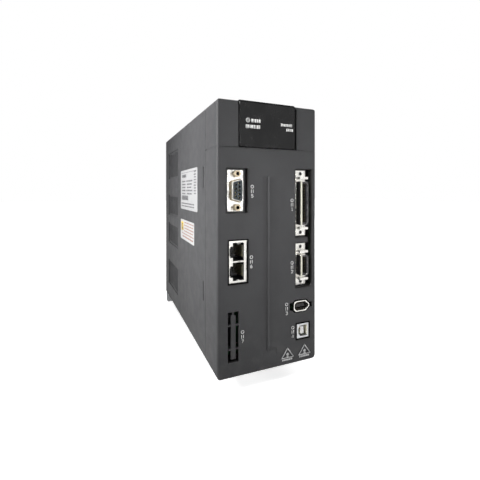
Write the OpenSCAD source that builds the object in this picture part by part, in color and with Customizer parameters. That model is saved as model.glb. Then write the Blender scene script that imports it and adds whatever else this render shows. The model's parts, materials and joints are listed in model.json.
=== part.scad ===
// Servo drive: a tall, narrow motor controller that screws to the back wall of a control cabinet.
// Its plastic case holds the circuit boards, and an aluminium heatsink with a fan stands behind them.
// Places are given as x from the left side, d behind the front face and t below the top face.

/* [Body] */
// Width of the case
body_w = 86; // [86:1:90]
// Height of the case, without the mounting ears
body_h = 204; // [204:1:210]
// Depth from the front face to the mounting face
body_d = 204; // [200:1:220]
// Wall thickness of the mouldings
wall = 2.2; // [1.8:0.1:2.4]
// Depth of the two front mouldings
cover_depth = 27; // [26:0.5:28]
// Height of the upper front moulding
bezel_h = 34.2; // [34:0.1:36]
// Width of the visible seams between mouldings
seam = 0.4; // [0.2:0.1:0.6]
// Rounding between the front face and the sides
edge_r = 1.5; // [0.8:0.1:2]

/* [Display door] */
// Left side of the door
door_x = 17.5; // [16:0.5:19]
// Width of the door
door_w = 48; // [46:0.5:48]
// How far the door stands proud of the case
door_proud = 0.9; // [0.5:0.1:1.2]
// Radius of the door's hinge barrel
barrel_r = 3.8; // [3.4:0.1:4]
// Radius of each hinge pin
pin_r = 1; // [0.8:0.1:1.2]
// Radius of each key
key_r = 2.4; // [2:0.1:2.6]
// How far a key moves when it is pressed
key_travel = 0.8; // [0.4:0.1:1]

/* [Front openings] */
// How far the connector flanges lie behind the front face
flange_depth = 4.2; // [4:0.1:4.6]
// Where the crease of the long fold lies
fold_x = 40.4; // [38:0.1:42]
// How deep the crease is
fold_crease = 1.1; // [0.6:0.1:1.4]
// How far the crest of the fold stands proud of the front face
fold_crest = 0.6; // [0.3:0.1:0.8]

/* [Cooling] */
// Number of heatsink fins
fin_count = 11; // [7:1:12]
// Thickness of each fin
fin_t = 1.8; // [1.2:0.1:2.4]
// Number of fan blades
blade_count = 7; // [5:1:9]
// Radius of the fan, to the tips of its blades
blade_r = 27.3; // [25:0.1:27.6]
// Width of each slot in the side vents
vent_slot = 2; // [1.5:0.1:2.5]

/* [Mounting ears] */
// How far each ear reaches past the case
ear_h = 12.6; // [11:0.1:14]
// Width of each ear
ear_w = 18; // [16:1:20]
// Diameter of the screw hole in each ear
ear_hole_d = 5.5; // [4.5:0.1:6]
// Thickness of the steel back plate
plate_t = 2; // [1.5:0.1:2.5]

/* [Hidden] */
$fn = 48;

// Overshoot of every cut, so that it leaves no skin
cut = 0.5;
// Clearance between mouldings that drop into each other
gap = 0.3;
door_gap = 0.7;

// The case starts behind the front mouldings and ends at the back plate
case_d = [cover_depth + seam, body_d - plate_t];
cover_t = [bezel_h + seam, body_h];
right = body_w - wall;
bottom = body_h - wall;

// Door and its hinge
door_x2 = door_x + door_w;
door_mid = door_x + door_w / 2;
door_plate = 2.1;
recess_depth = 1.6;
hinge_d = 8;
hinge_t = barrel_r - door_proud;
hinge_relief = [5.6, hinge_t + 0.3];
pin_grip = 6;
pin_reach = 8;
bezel_wall = 3.6;
bezel_top = 9;
bezel_solid_d = 14;

// Keypad behind the door
panel_x = [door_mid - 21.7, door_mid + 21.7];
panel_t = [9.4, 32];
panel_d = [bezel_wall + 0.1, bezel_wall + 1.5];
display_x = [door_mid - 14, door_mid + 14];
display_t = [11.8, 20.8];
key_t = 26.4;
key_pitch = 7.6;
key_front_d = 2.1;
key_board_d = [11, 12.6];
switch_d = 9.2;
led_x = door_mid + 18;
led_t = 16.3;
boss_x = [14, 69];
boss_t = 22;

// Circuit boards
board_t = 1.6;
board_x = [4.2, 81.8];
control_d = [20, 20 + board_t];
power_d = [105.4, 105.4 + board_t];
standoff_x = [10, 76];
standoff_t = [45, 191];
screw_r = 1.5;
screw_gap = 0.1;

// The long fold in the middle of the front cover
fold_t = [55.5, 192];
fold_end = 3;
fold_dip_w = 4.4;
fold_dip_depth = 0.4;
fold_step_x = fold_x + 1.6;
fold_slope_w = 9;
scoop_r = 9;
scoop_depth = 0.6;

// Connector centres and sizes
pocket_floor = flange_depth + 0.8;
floor_t = 1.4;
body_gap = 3.6;
dsub_pocket_x = [6.8, 24.9];
dsub_pocket_t = [50, 83.3];
dsub_x = 16.1;
dsub_t = 66.7;
dsub_flange = [12.9, 31];
dsub_screw = 12.5;
dsub_shell_w = 8.6;
dsub_shell_h = 16.4;
dsub_hole_r = 0.85;
dsub_body_x = [dsub_x - 5.4, dsub_x + 5.4];
dsub_body_t = [dsub_t - 9.7, dsub_t + 9.7];
rj45_x = [9.2, 23.8];
rj45_t = [103.6, 134.7];
rj45_ports = [111.9, 126.4];
mdr_x = 74.3;
mdr_shell_w = 7.2;
mdr_flange_w = 9.3;
mdr50 = [76.85, 53.1, 35.6];
mdr20 = [126.7, 33.7, 17];
mdr_pocket_x = [66, 82.2];
mdr50_pocket_t = [49.3, 104.4];
mdr20_pocket_t = [108.3, 144.5];
trough_x = 79.1;
mdr_rib_x = 77.9;
mdr_hollow = 5.2;
firewire_x = [64.9, 79.5];
firewire_t = 159.1;
firewire_h = 8.3;
firewire_tabs = [[[61.3, 66], 3.3], [[78.5, 82.6], 2.1]];
firewire_skin = 0.75;
usb_x = [67.5, 78.9];
usb_t = [173.3, 184.8];
usb_skin = 1.5;
blank_x = [8.4, 17.1];
blank_t = [155.7, 192.7];
blank_slot = 2.5;
blank_bridge_t = [165.5, 183];
socket_gap = 0.6;
firewire_gap = 1;

// Heatsink and fan
base_d = [120, 128];
fin_d = [128, 198];
fin_zone_t = [14, 183.5];
sink_rib_x = [23, 63];
sink_screw_t = [40, 160];
fan_x = body_w / 2;
fan_d = 162;
fan_t = [186.6, 201.6];
fan_half = 30;
fan_hole = 25;
duct_r = 28.4;
hub_r = 12.5;
shaft_r = 1.5;

// Power modules on the heatsink, and the earth screws below them
igbt_screw_x = [15, 71];
igbt_t_mid = 121;
rectifier_mid = [43, 76];
pad_t = 0.3;
choke_mid = [67.5, 29.5];
earth_x = [58, 68];
earth_d = 124;

// Mounting ears and the screws at the corners of the back plate
ear_left_x = [1, 1 + ear_w];
ear_right_x = [body_w - 1 - ear_w, body_w - 1];
ear_hole_t = 6;
corner_screw = 5.7;
self_tap_r = 1.25;

// Side vents: depth range, and height range of each window
vent_d = [129, 182];
vent_rows = [[20, 52], [72, 97], [107, 132], [154, 184]];
vent_recess = 0.9;
vent_pitch = 4.4;
snap_rows = [[47, 65], [141, 157]];
snap_d = [32.4, 34];

// Terminal blocks
terminal_d = [84, 105.4];
power_terminal = [14, 5, 7.62];
motor_terminal = [15, 3, 7.62];
regen_terminal = [45, 3, 7.62];
terminal_edge = 2;

// Labels on the left side
label_t = 0.3;
nameplate_d = [50.4, 114];
nameplate_t = [46, 85.7];
rating_d = [61, 114.5];
rating_t = [96.5, 117];

// ---------- Placing and drawing ----------

// Places children at x from the left side, d behind the front face and t below the top face
module at(x, d, t) {
    translate([x - body_w / 2, d - body_d, body_h / 2 - t]) children();
}

// A block between two values of x, of d and of t
module block(x, d, t) {
    at(x[0], d[0], t[1]) cube([x[1] - x[0], d[1] - d[0], t[1] - t[0]]);
}

// A round bar that runs from front to back
module bar(x, d, t, r) {
    at(x, d[0], t) rotate([-90, 0, 0]) cylinder(r = r, h = d[1] - d[0]);
}

// A round bar that runs from left to right
module cross_bar(x, d, t, r) {
    at(x[0], d, t) rotate([0, 90, 0]) cylinder(r = r, h = x[1] - x[0]);
}

// An upright round bar
module post(x, d, t, r) {
    at(x, d, t[1]) cylinder(r = r, h = t[1] - t[0]);
}

// Extrudes an outline drawn in x and -t from depth d[0] to d[1]
module face_extrude(d) {
    at(0, d[1], 0) rotate([90, 0, 0]) linear_extrude(d[1] - d[0]) children();
}

// Extrudes an outline drawn in d and -t from x[0] to x[1]
module side_extrude(x) {
    at(x[0], 0, 0) rotate([90, 0, 90]) linear_extrude(x[1] - x[0]) children();
}

// Extrudes an outline drawn in x and d from t[0] down to t[1]
module plan_extrude(t) {
    at(0, 0, t[1]) linear_extrude(t[1] - t[0]) children();
}

// The waste outside a rounded corner at the origin
module corner_waste(r) {
    if (r > 0) difference() {
        translate([-cut, -cut]) square(r + cut);
        translate([r, r]) circle(r);
    }
}

// A rectangle with its own radius at each corner: bottom left, bottom right, top right, top left
module rounded(a, b, r) {
    difference() {
        translate([a[0], b[0]]) square([a[1] - a[0], b[1] - b[0]]);
        translate([a[0], b[0]]) corner_waste(r[0]);
        translate([a[1], b[0]]) rotate(90) corner_waste(r[1]);
        translate([a[1], b[1]]) rotate(180) corner_waste(r[2]);
        translate([a[0], b[1]]) rotate(270) corner_waste(r[3]);
    }
}

// Repeats children on the right side of the case
module both_sides() {
    children();
    mirror([1, 0, 0]) children();
}

// ---------- Mouldings ----------

module vent_window(t) {
    block([-cut, vent_recess], vent_d, t);
    slots = floor((vent_d[1] - vent_d[0] - 4) / vent_pitch);
    first = (vent_d[0] + vent_d[1] - (slots - 1) * vent_pitch - vent_slot) / 2;
    for (i = [0:slots - 1])
        block([-cut, wall + cut], [0, vent_slot] + [1, 1] * (first + i * vent_pitch), t + [2, -2]);
}

module case_corner_boss(t) {
    block([wall - 0.1, wall + 7], [180, case_d[1]], t);
}

module main_case() {
    color([0.27, 0.27, 0.28]) difference() {
        union() {
            difference() {
                face_extrude(case_d) rounded([0, body_w], [-body_h, 0], [4, 5.2, 3.2, 2.6]);
                block([wall, right], case_d + [-cut, cut], [wall, bottom]);
            }
            both_sides() {
                case_corner_boss([wall - 0.1, wall + 7]);
                case_corner_boss([bottom - 7, bottom + 0.1]);
            }
        }
        both_sides() {
            for (row = vent_rows) vent_window(row);
            for (row = snap_rows) block([-cut, wall + cut], snap_d, row);
            for (t = [corner_screw, body_h - corner_screw]) bar(corner_screw, [190, 202.5], t, self_tap_r);
        }
        // Pockets for the two stuck-on labels
        side_extrude([-cut, label_t]) nameplate_outline();
        side_extrude([-cut, label_t]) rating_outline();
        // Warm air leaves through the top
        for (i = [0:9])
            block([13 + i * 6.3, 16 + i * 6.3], [132, 192], [-cut, wall + cut]);
        // Openings for the terminal blocks and the earth screws
        terminal_window(power_terminal);
        mirror([0, 0, 1]) {
            terminal_window(motor_terminal);
            terminal_window(regen_terminal);
        }
        block([52, 74], [117, 131], [bottom - cut, body_h + cut]);
        // Opening and countersunk holes for the fan
        post(fan_x, fan_d, [bottom - cut, body_h + cut], 29);
        for (i = [-1, 1], j = [-1, 1])
            at(fan_x + i * fan_hole, fan_d + j * fan_hole, body_h) fan_screw_cut();
    }
}

module fan_screw_cut() {
    translate([0, 0, -cut]) cylinder(r = 1.9, h = wall + 2 * cut);
    translate([0, 0, -0.01]) cylinder(r1 = 3.6, r2 = 1.9, h = 1.7);
}

module terminal_window(spec) {
    width = spec[1] * spec[2] + 2 * terminal_edge;
    block([spec[0] - gap, spec[0] + width + gap], terminal_d + [-gap, gap], [-cut, wall + cut]);
}

// The front moulding before its openings are cut
module cover_shell() {
    difference() {
        intersection() {
            face_extrude([0, cover_depth]) rounded([0, body_w], [-body_h, -cover_t[0]], [4, 5.2, 0, 0]);
            plan_extrude(cover_t) rounded([0, body_w], [0, cover_depth], [edge_r, edge_r, 0, 0]);
            side_extrude([0, body_w]) rounded([0, cover_depth], [-body_h, -cover_t[0]], [edge_r, 0, 0, 0]);
        }
        block([wall, right], [wall, cover_depth + cut], [cover_t[0] - cut, bottom]);
    }
}

// The dip and crease on the fold's left, which end in a shallow scoop
module fold_dip() {
    flank = [for (i = [0:6]) [fold_x - fold_dip_w * (1 - i / 6), fold_dip_depth * pow(i / 6, 2)]];
    intersection() {
        plan_extrude(fold_t) polygon(concat([[flank[0].x, -cut]], flank, [
            [fold_x + 0.3, fold_crease],
            [fold_x + 0.7, fold_crease],
            [fold_step_x, 0],
            [fold_step_x, -cut]
        ]));
        side_extrude([flank[0].x - cut, fold_step_x + cut]) polygon([
            [-2 * cut, -fold_t[1]],
            [-2 * cut, -fold_t[0]],
            [0, -fold_t[0]],
            [fold_crease + cut, -fold_t[0] - fold_end],
            [fold_crease + cut, -fold_t[1] + fold_end],
            [0, -fold_t[1]]
        ]);
    }
    cross_bar([fold_x - fold_dip_w + 1, fold_step_x + fold_slope_w - 2], scoop_depth - scoop_r,
              fold_t[1] - 1, scoop_r);
}

// The crest above the crease, with a long slope down to the right
module fold_ridge() {
    top_x = fold_step_x + fold_crest * 0.75;
    slope = [for (i = [0:8]) [top_x + 0.6 + fold_slope_w * i / 8, -fold_crest * pow(1 - i / 8, 2)]];
    end_x = slope[len(slope) - 1].x;
    intersection() {
        plan_extrude(fold_t) polygon(concat([[fold_step_x - 0.2, 0.3], [fold_step_x, 0],
                                             [top_x, -fold_crest]], slope, [[end_x, 0.3]]));
        side_extrude([fold_step_x - 1, end_x + cut]) polygon([
            [0.3 + cut, -fold_t[1]],
            [0, -fold_t[1]],
            [-fold_crest - cut, -fold_t[1] + fold_end],
            [-fold_crest - cut, -fold_t[0] - fold_end],
            [0, -fold_t[0]],
            [0.3 + cut, -fold_t[0]]
        ]);
    }
}

// Four walls and a floor behind a connector recess
module pocket_liner(x, t) {
    block([x[0] - floor_t, min(x[1] + floor_t, right + 0.1)],
          [1, pocket_floor + floor_t], t + [-floor_t, floor_t]);
}

// The shared recess of the two ribbon-contact sockets, with one well rounded corner
module mdr_recess(d) {
    face_extrude(d)
        rounded(mdr_pocket_x, [-mdr20_pocket_t[1], -mdr50_pocket_t[0]], [0, 2.5, 0, 0]);
}

module snap_tongue(t) {
    block([wall - 0.3, wall + 1.4], [14, cover_depth], t + [2, -2]);
    block([wall + 0.1, wall + 1.4], [cover_depth - 1, snap_d[1] + 3], t + [2, -2]);
    block([wall - 1.2, wall + 0.2], [snap_d[0] + 0.3, snap_d[1] - 0.3], t + [2, -2]);
}

// The right half of the pointed serial socket's outline, from its top to its tip, grown by g
function firewire_top(g) =
    let (x = firewire_x + [-g, g], half = firewire_h / 2 + g, tip = 0.9 + g / 3)
    [[x[0], half - 1.7], [x[0] + 1.8, half], [x[1] - 3.4, half], [x[1], tip]];

// The pointed outline of the six-pin serial socket, grown by g on every side
module firewire_outline(g) {
    top = firewire_top(g);
    lower = [for (i = [len(top) - 1:-1:0]) [top[i][0], -top[i][1]]];
    translate([0, -firewire_t]) polygon(concat(top, lower));
}

// The square outline of the printer-type socket, grown by g on every side
module usb_outline(g) {
    translate([usb_x[0] - g, -usb_t[1] - g])
        square([usb_x[1] - usb_x[0] + 2 * g, usb_t[1] - usb_t[0] + 2 * g]);
}

// The socket's hollow, with two corners cut off on its left, shrunk by g on every side
module usb_hollow(g) {
    x = usb_x + [usb_skin + g, -usb_skin - g];
    t = usb_t + [usb_skin + g, -usb_skin - g];
    c = 2.2;
    polygon([[x[0] + c, -t[1]], [x[1], -t[1]], [x[1], -t[0]],
             [x[0] + c, -t[0]], [x[0], -t[0] - c], [x[0], -t[1] + c]]);
}

// The knock-out panel is held by five thin bridges
module blank_slots() {
    deep = [-2 * cut, wall + 2 * cut];
    difference() {
        block(blank_x, [-cut, wall + cut], blank_t);
        block(blank_x + [blank_slot, -blank_slot], deep, blank_t + [blank_slot, -blank_slot]);
        for (t = blank_bridge_t)
            block(blank_x + [-cut, cut], deep, [t - 0.5, t + 0.5]);
        block([12, 13.2], deep, [blank_t[0] - 3, blank_t[0] + 3]);
    }
}

module front_cover() {
    rib_t = [mdr50_pocket_t[1], mdr20_pocket_t[0]];
    through = [-cut, pocket_floor + floor_t + cut];
    color([0.27, 0.27, 0.28]) difference() {
        union() {
            cover_shell();
            pocket_liner(dsub_pocket_x, dsub_pocket_t);
            pocket_liner(mdr_pocket_x, [mdr50_pocket_t[0], mdr20_pocket_t[1]]);
            both_sides() for (row = snap_rows) snap_tongue(row);
            fold_ridge();
        }
        // Recess, body hole and screw holes of the nine-pin socket
        block(dsub_pocket_x, [-cut, pocket_floor], dsub_pocket_t);
        block(dsub_body_x, through, dsub_body_t);
        for (i = [-1, 1]) bar(dsub_x, through, dsub_t + i * dsub_screw, 1.75);
        // Two recesses with a rib between them, and the open trough on their right
        difference() {
            mdr_recess([-cut, pocket_floor]);
            block([mdr_pocket_x[0] - cut, mdr_rib_x], [-2 * cut, pocket_floor + cut], rib_t);
        }
        intersection() {
            mdr_recess(through);
            block([trough_x, mdr_pocket_x[1]], through + [-cut, cut], [0, body_h]);
        }
        for (spec = [mdr50, mdr20])
            block([mdr_x - body_gap, mdr_x + body_gap], through,
                  [spec[0] - spec[2] / 2 - body_gap, spec[0] + spec[2] / 2 + body_gap]);
        // Openings that fit closely round the flush sockets
        block(rj45_x + [-socket_gap, socket_gap], [-cut, wall + cut], rj45_t + [-socket_gap, socket_gap]);
        face_extrude([-cut, wall + cut]) firewire_outline(firewire_gap);
        for (tab = firewire_tabs)
            block(tab[0], [-cut, wall + cut], [firewire_t - tab[1], firewire_t + tab[1]]);
        face_extrude([-cut, wall + cut]) usb_outline(socket_gap);
        blank_slots();
        fold_dip();
    }
}

module top_bezel() {
    slot_x = [door_x - door_gap, door_x2 + door_gap];
    color([0.27, 0.27, 0.28]) difference() {
        union() {
            difference() {
                intersection() {
                    face_extrude([0, cover_depth]) rounded([0, body_w], [-bezel_h, 0], [0, 0, 3.2, 2.6]);
                    plan_extrude([0, bezel_h])
                        rounded([0, body_w], [0, cover_depth], [edge_r, edge_r, 0, 0]);
                    side_extrude([0, body_w]) rounded([0, cover_depth], [-bezel_h, 0], [0, 0, 0, edge_r]);
                }
                block([wall, right], [bezel_wall, cover_depth + cut], [bezel_top, bezel_h + cut]);
                block([wall, right], [bezel_solid_d, cover_depth + cut], [wall, bezel_top + cut]);
            }
            // Bosses for the keypad board
            for (x = boss_x) bar(x, [bezel_wall - cut, key_board_d[0]], boss_t, 2.6);
        }
        // Recess for the door, round the front edge and over the top
        block(slot_x, [-cut - 1, recess_depth], [-cut - 1, bezel_h + cut]);
        block(slot_x, [-cut - 1, hinge_d], [-cut - 1, 1.7]);
        cross_bar(slot_x, hinge_d, hinge_t, barrel_r + 0.4);
        block(slot_x, [hinge_d, hinge_d + hinge_relief[0]], [-cut, hinge_relief[1]]);
        cross_bar([slot_x[0] - pin_grip, slot_x[0] + cut], hinge_d, hinge_t, pin_r);
        cross_bar([slot_x[1] - cut, slot_x[1] + pin_grip], hinge_d, hinge_t, pin_r);
        // Window for the keypad
        block([panel_x[0] + 0.8, panel_x[1] - 0.8], [0, bezel_wall + cut], [10, 31.2]);
        for (x = boss_x) bar(x, [7, key_board_d[0] + cut], boss_t, 0.9);
    }
}

module display_door() {
    front = -door_proud;
    color([0.08, 0.08, 0.085]) difference() {
        intersection() {
            side_extrude([door_x, door_x2]) union() {
                rounded([front, front + door_plate], [-bezel_h + 0.1, door_proud], [0.6, 0, 0, 2.4]);
                rounded([front, hinge_d], [-1.3, door_proud], [0, 0, 0, 2.4]);
                translate([hinge_d, -hinge_t]) circle(barrel_r);
            }
            face_extrude([front - cut, hinge_d + barrel_r + cut])
                rounded([door_x, door_x2], [-bezel_h, door_proud], [0.8, 0.8, 0.8, 0.8]);
        }
        cross_bar([door_x - cut, door_x + pin_reach], hinge_d, hinge_t, pin_r + 0.05);
        cross_bar([door_x2 - pin_reach, door_x2 + cut], hinge_d, hinge_t, pin_r + 0.05);
    }
}

module door_pins() {
    reach = pin_reach - 0.4;
    color("silver") {
        cross_bar([door_x - door_gap - pin_grip, door_x + reach], hinge_d, hinge_t, pin_r);
        cross_bar([door_x2 - reach, door_x2 + door_gap + pin_grip], hinge_d, hinge_t, pin_r);
    }
}

// ---------- Keypad ----------

function key_x(i) = door_mid + (i - 2) * key_pitch;

module keypad_panel() {
    through = panel_d + [-cut, cut];
    color([0.16, 0.16, 0.17]) difference() {
        block(panel_x, panel_d, panel_t);
        block(display_x + [-0.2, 0.2], through, display_t + [-0.2, 0.2]);
        for (i = [0:4]) bar(key_x(i), through, key_t, key_r + 0.3);
        bar(led_x, through, led_t, 1.5);
    }
}

module display_module() {
    color([0.25, 0.05, 0.05]) block(display_x, [panel_d[0] + 0.4, key_board_d[0]], display_t);
}

module key_board() {
    color([0.1, 0.35, 0.2]) difference() {
        block([door_mid - 31, door_mid + 31], key_board_d, [9.8, 33]);
        for (x = boss_x) bar(x, key_board_d + [-cut, cut], boss_t, 1.1);
    }
}

module key_switches() {
    color([0.15, 0.15, 0.15])
        for (i = [0:4])
            block([key_x(i) - 2.9, key_x(i) + 2.9], [switch_d, key_board_d[0]], [key_t - 2.9, key_t + 2.9]);
}

module charge_led() {
    color([0.8, 0.15, 0.1]) {
        bar(led_x, [panel_d[0] + 0.2, 7], led_t, 1.3);
        bar(led_x, [7, key_board_d[0]], led_t, 1.7);
    }
}

module key_cap(i) {
    color([0.6, 0.6, 0.62]) {
        bar(key_x(i), [key_front_d, panel_d[1] + 0.2], key_t, key_r);
        bar(key_x(i), [panel_d[1] + 0.2, panel_d[1] + 1], key_t, key_r + 0.9);
        bar(key_x(i), [panel_d[1] + 1, switch_d - key_travel - 0.2], key_t, 1.2);
    }
}

module key_mode() {
    key_cap(0);
}

module key_shift() {
    key_cap(1);
}

module key_up() {
    key_cap(2);
}

module key_down() {
    key_cap(3);
}

module key_set() {
    key_cap(4);
}

// ---------- Circuit boards ----------

module board_holes(d) {
    for (x = standoff_x, t = standoff_t) bar(x, d + [-cut, cut], t, screw_r + screw_gap);
}

module control_board() {
    color([0.1, 0.35, 0.2]) difference() {
        block(board_x, control_d, [40, 198]);
        board_holes(control_d);
    }
}

module power_board() {
    color([0.1, 0.35, 0.2]) difference() {
        block(board_x, power_d, [10, 197]);
        board_holes(power_d);
    }
}

module supply_board() {
    color([0.1, 0.35, 0.2]) {
        block([5.4, 7], [control_d[1] + 4, power_d[0] - 3], [118, 182]);
        block([5.4, 9.5], [power_d[0] - 3, power_d[0]], [122, 178]);
        block([5.4, 9.5], [control_d[1], control_d[1] + 4], [122, 178]);
    }
}

// ---------- Front connectors ----------

// D-shaped outline with its long side on the right
module dsub_outline(w, h) {
    slope = w * 0.18;
    r = 1.2;
    hull() {
        for (i = [-1, 1]) {
            translate([w / 2 - r, i * (h / 2 - r)]) circle(r, $fn = 32);
            translate([-w / 2 + r, i * (h / 2 - slope - r)]) circle(r, $fn = 32);
        }
    }
}

module dsub_shell() {
    flange_d = [flange_depth, pocket_floor];
    color([0.85, 0.84, 0.8]) difference() {
        union() {
            face_extrude(flange_d)
                rounded([dsub_x - dsub_flange[0] / 2, dsub_x + dsub_flange[0] / 2],
                        [-dsub_t - dsub_flange[1] / 2, -dsub_t + dsub_flange[1] / 2], [1, 1, 1, 1]);
            face_extrude([-0.7, flange_d[1]])
                translate([dsub_x, -dsub_t]) dsub_outline(dsub_shell_w, dsub_shell_h);
        }
        face_extrude([-cut - 1, flange_d[1] + cut])
            translate([dsub_x, -dsub_t]) dsub_outline(dsub_shell_w - 0.9, dsub_shell_h - 0.9);
        for (i = [-1, 1]) bar(dsub_x, flange_d + [-cut, cut], dsub_t + i * dsub_screw, 1.6);
    }
}

function dsub_holes() = concat(
    [for (i = [-2:2]) [1.42, i * 2.74]],
    [for (i = [-1.5:1.5]) [-1.42, i * 2.74]]);

module dsub_insert() {
    color([0.12, 0.12, 0.12]) difference() {
        union() {
            face_extrude([-0.4, pocket_floor])
                translate([dsub_x, -dsub_t]) dsub_outline(dsub_shell_w - 1, dsub_shell_h - 1);
            block([dsub_x - 5.2, dsub_x + 5.2], [pocket_floor, control_d[0]], [dsub_t - 9.4, dsub_t + 9.4]);
        }
        for (hole = dsub_holes()) bar(dsub_x + hole[0], [-1, 6], dsub_t + hole[1], dsub_hole_r);
    }
}

module dsub_jackscrews() {
    color("silver")
        for (i = [-1, 1]) difference() {
            union() {
                at(dsub_x, -0.6, dsub_t + i * dsub_screw) rotate([-90, 0, 0])
                    cylinder(r = 2.75, h = flange_depth + 0.6, $fn = 6);
                bar(dsub_x, [flange_depth - 0.1, 10], dsub_t + i * dsub_screw, 1.5);
            }
            bar(dsub_x, [-1, 3.5], dsub_t + i * dsub_screw, 1.25);
        }
}

// The stepped opening of one network jack
module rj45_opening(d, t) {
    block([12.5, 21.4], d, [t - 6.7, t + 6.7]);
    block([10.5, 12.6], d, [t - 4.2, t + 4.2]);
    block([9.9, 10.6], d, [t - 2.9, t + 2.9]);
}

module rj45_shield() {
    skin = 0.4;
    color([0.85, 0.84, 0.8]) difference() {
        block(rj45_x, [skin, control_d[0]], rj45_t);
        block(rj45_x + [skin, -skin], [2 * skin, control_d[0] + cut], rj45_t + [skin, -skin]);
        for (t = rj45_ports) rj45_opening([-cut, 4 * skin], t);
    }
}

module rj45_housing() {
    skin = 0.4;
    color([0.12, 0.12, 0.12]) difference() {
        block(rj45_x + [skin, -skin], [2 * skin, control_d[0]], rj45_t + [skin, -skin]);
        for (t = rj45_ports) rj45_opening([0, 14], t);
    }
}

// Ribbon-contact socket: spec holds its centre, its flange length and its shell length
module mdr_shell(spec) {
    flange_d = [flange_depth + 0.2, pocket_floor];
    x = [mdr_x - mdr_shell_w / 2, mdr_x + mdr_shell_w / 2];
    t = [spec[0] - spec[2] / 2, spec[0] + spec[2] / 2];
    skin = 0.45;
    color([0.85, 0.84, 0.8]) difference() {
        union() {
            block([mdr_x - mdr_flange_w / 2, mdr_x + mdr_flange_w / 2], flange_d,
                  [spec[0] - spec[1] / 2, spec[0] + spec[1] / 2]);
            face_extrude([-0.7, flange_d[1]]) rounded(x, [-t[1], -t[0]], [0.8, 2.6, 2.6, 0.8]);
            // Latch hooks past each end of the shell
            for (hook = [[t[0] - 3.4, t[0] - 1.5], [t[1] + 1.5, t[1] + 3.4]])
                block([x[0], x[1] + 0.5], [-0.2, flange_d[1]], hook);
        }
        face_extrude([-1 - cut, flange_d[1] + cut])
            rounded(x + [skin, -skin], [-t[1] + skin, -t[0] - skin], [0.5, 2.1, 2.1, 0.5]);
        for (i = [-1, 1]) bar(mdr_x, flange_d + [-cut, cut], spec[0] + i * (spec[1] / 2 - 2.6), 1.4);
    }
}

// The lining of the socket: a hollow with the contacts on its long walls
module mdr_insert(spec) {
    skin = 0.5;
    lining = 0.6;
    x = [mdr_x - mdr_shell_w / 2 + skin, mdr_x + mdr_shell_w / 2 - skin];
    t = [spec[0] - spec[2] / 2 + skin, spec[0] + spec[2] / 2 - skin];
    color([0.3, 0.3, 0.31]) difference() {
        union() {
            face_extrude([0, pocket_floor + 1]) rounded(x, [-t[1], -t[0]], [0.5, 2.1, 2.1, 0.5]);
            block(x, [pocket_floor, control_d[0]], t + [-2.4, 2.4]);
        }
        block(x + [lining, -lining], [-cut, mdr_hollow], t + [1.4, -1.4]);
    }
}

module mdr50_shell() {
    mdr_shell(mdr50);
}

module mdr50_insert() {
    mdr_insert(mdr50);
}

module mdr20_shell() {
    mdr_shell(mdr20);
}

module mdr20_insert() {
    mdr_insert(mdr20);
}

module firewire_shell() {
    color([0.8, 0.8, 0.78]) difference() {
        face_extrude([-0.3, control_d[0]]) firewire_outline(0);
        face_extrude([-1, control_d[0] + cut]) firewire_outline(-firewire_skin);
    }
}

module firewire_insert() {
    color([0.1, 0.1, 0.1]) {
        face_extrude([10, control_d[0]]) firewire_outline(-firewire_skin - 0.05);
        block([68.2, 76], [1.6, 10.1], [firewire_t - 1.2, firewire_t + 1.2]);
    }
}

module usb_shell() {
    color([0.8, 0.8, 0.8]) difference() {
        face_extrude([-0.2, control_d[0]]) usb_outline(0);
        face_extrude([-1, control_d[0] + cut]) usb_hollow(0);
    }
}

module usb_insert() {
    mid_x = (usb_x[0] + usb_x[1]) / 2;
    mid_t = (usb_t[0] + usb_t[1]) / 2;
    color([0.9, 0.9, 0.9]) {
        face_extrude([9.5, control_d[0]]) usb_hollow(0.05);
        block([mid_x - 1.6, mid_x + 1.6], [0.8, 9.6], [mid_t - 2.9, mid_t + 2.9]);
    }
}

module expansion_header() {
    color([0.12, 0.12, 0.12]) difference() {
        block([10.2, 15.6], [9, control_d[0]], [161, 186]);
        block([12, 13.8], [8, 17], [162.5, 184.5]);
    }
}

// ---------- Heatsink, back plate and fan ----------

function fin_x(i) = 9 + i * (body_w - 18 - fin_t) / (fin_count - 1);

module heatsink() {
    color([0.75, 0.76, 0.78]) difference() {
        union() {
            block([2.5, body_w - 2.5], base_d, [6, 200]);
            for (i = [0:fin_count - 1])
                block([fin_x(i), fin_x(i) + fin_t], [base_d[1] - 0.1, fin_d[1]], fin_zone_t);
            for (x = sink_rib_x) block([x - 3, x + 3], [base_d[1] - 0.1, case_d[1]], fin_zone_t);
        }
        for (x = sink_rib_x, t = sink_screw_t) bar(x, [190, case_d[1] + cut], t, self_tap_r);
        for (x = standoff_x, t = standoff_t) bar(x, base_d + [-cut, -2], t, screw_r);
        for (x = igbt_screw_x) bar(x, base_d + [-cut, -1], igbt_t_mid, 2.05);
        bar(rectifier_mid[0], base_d + [-cut, -1], rectifier_mid[1], 2.05);
        for (x = earth_x) post(x, earth_d, [190, 200 + cut], 2.05);
    }
}

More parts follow.
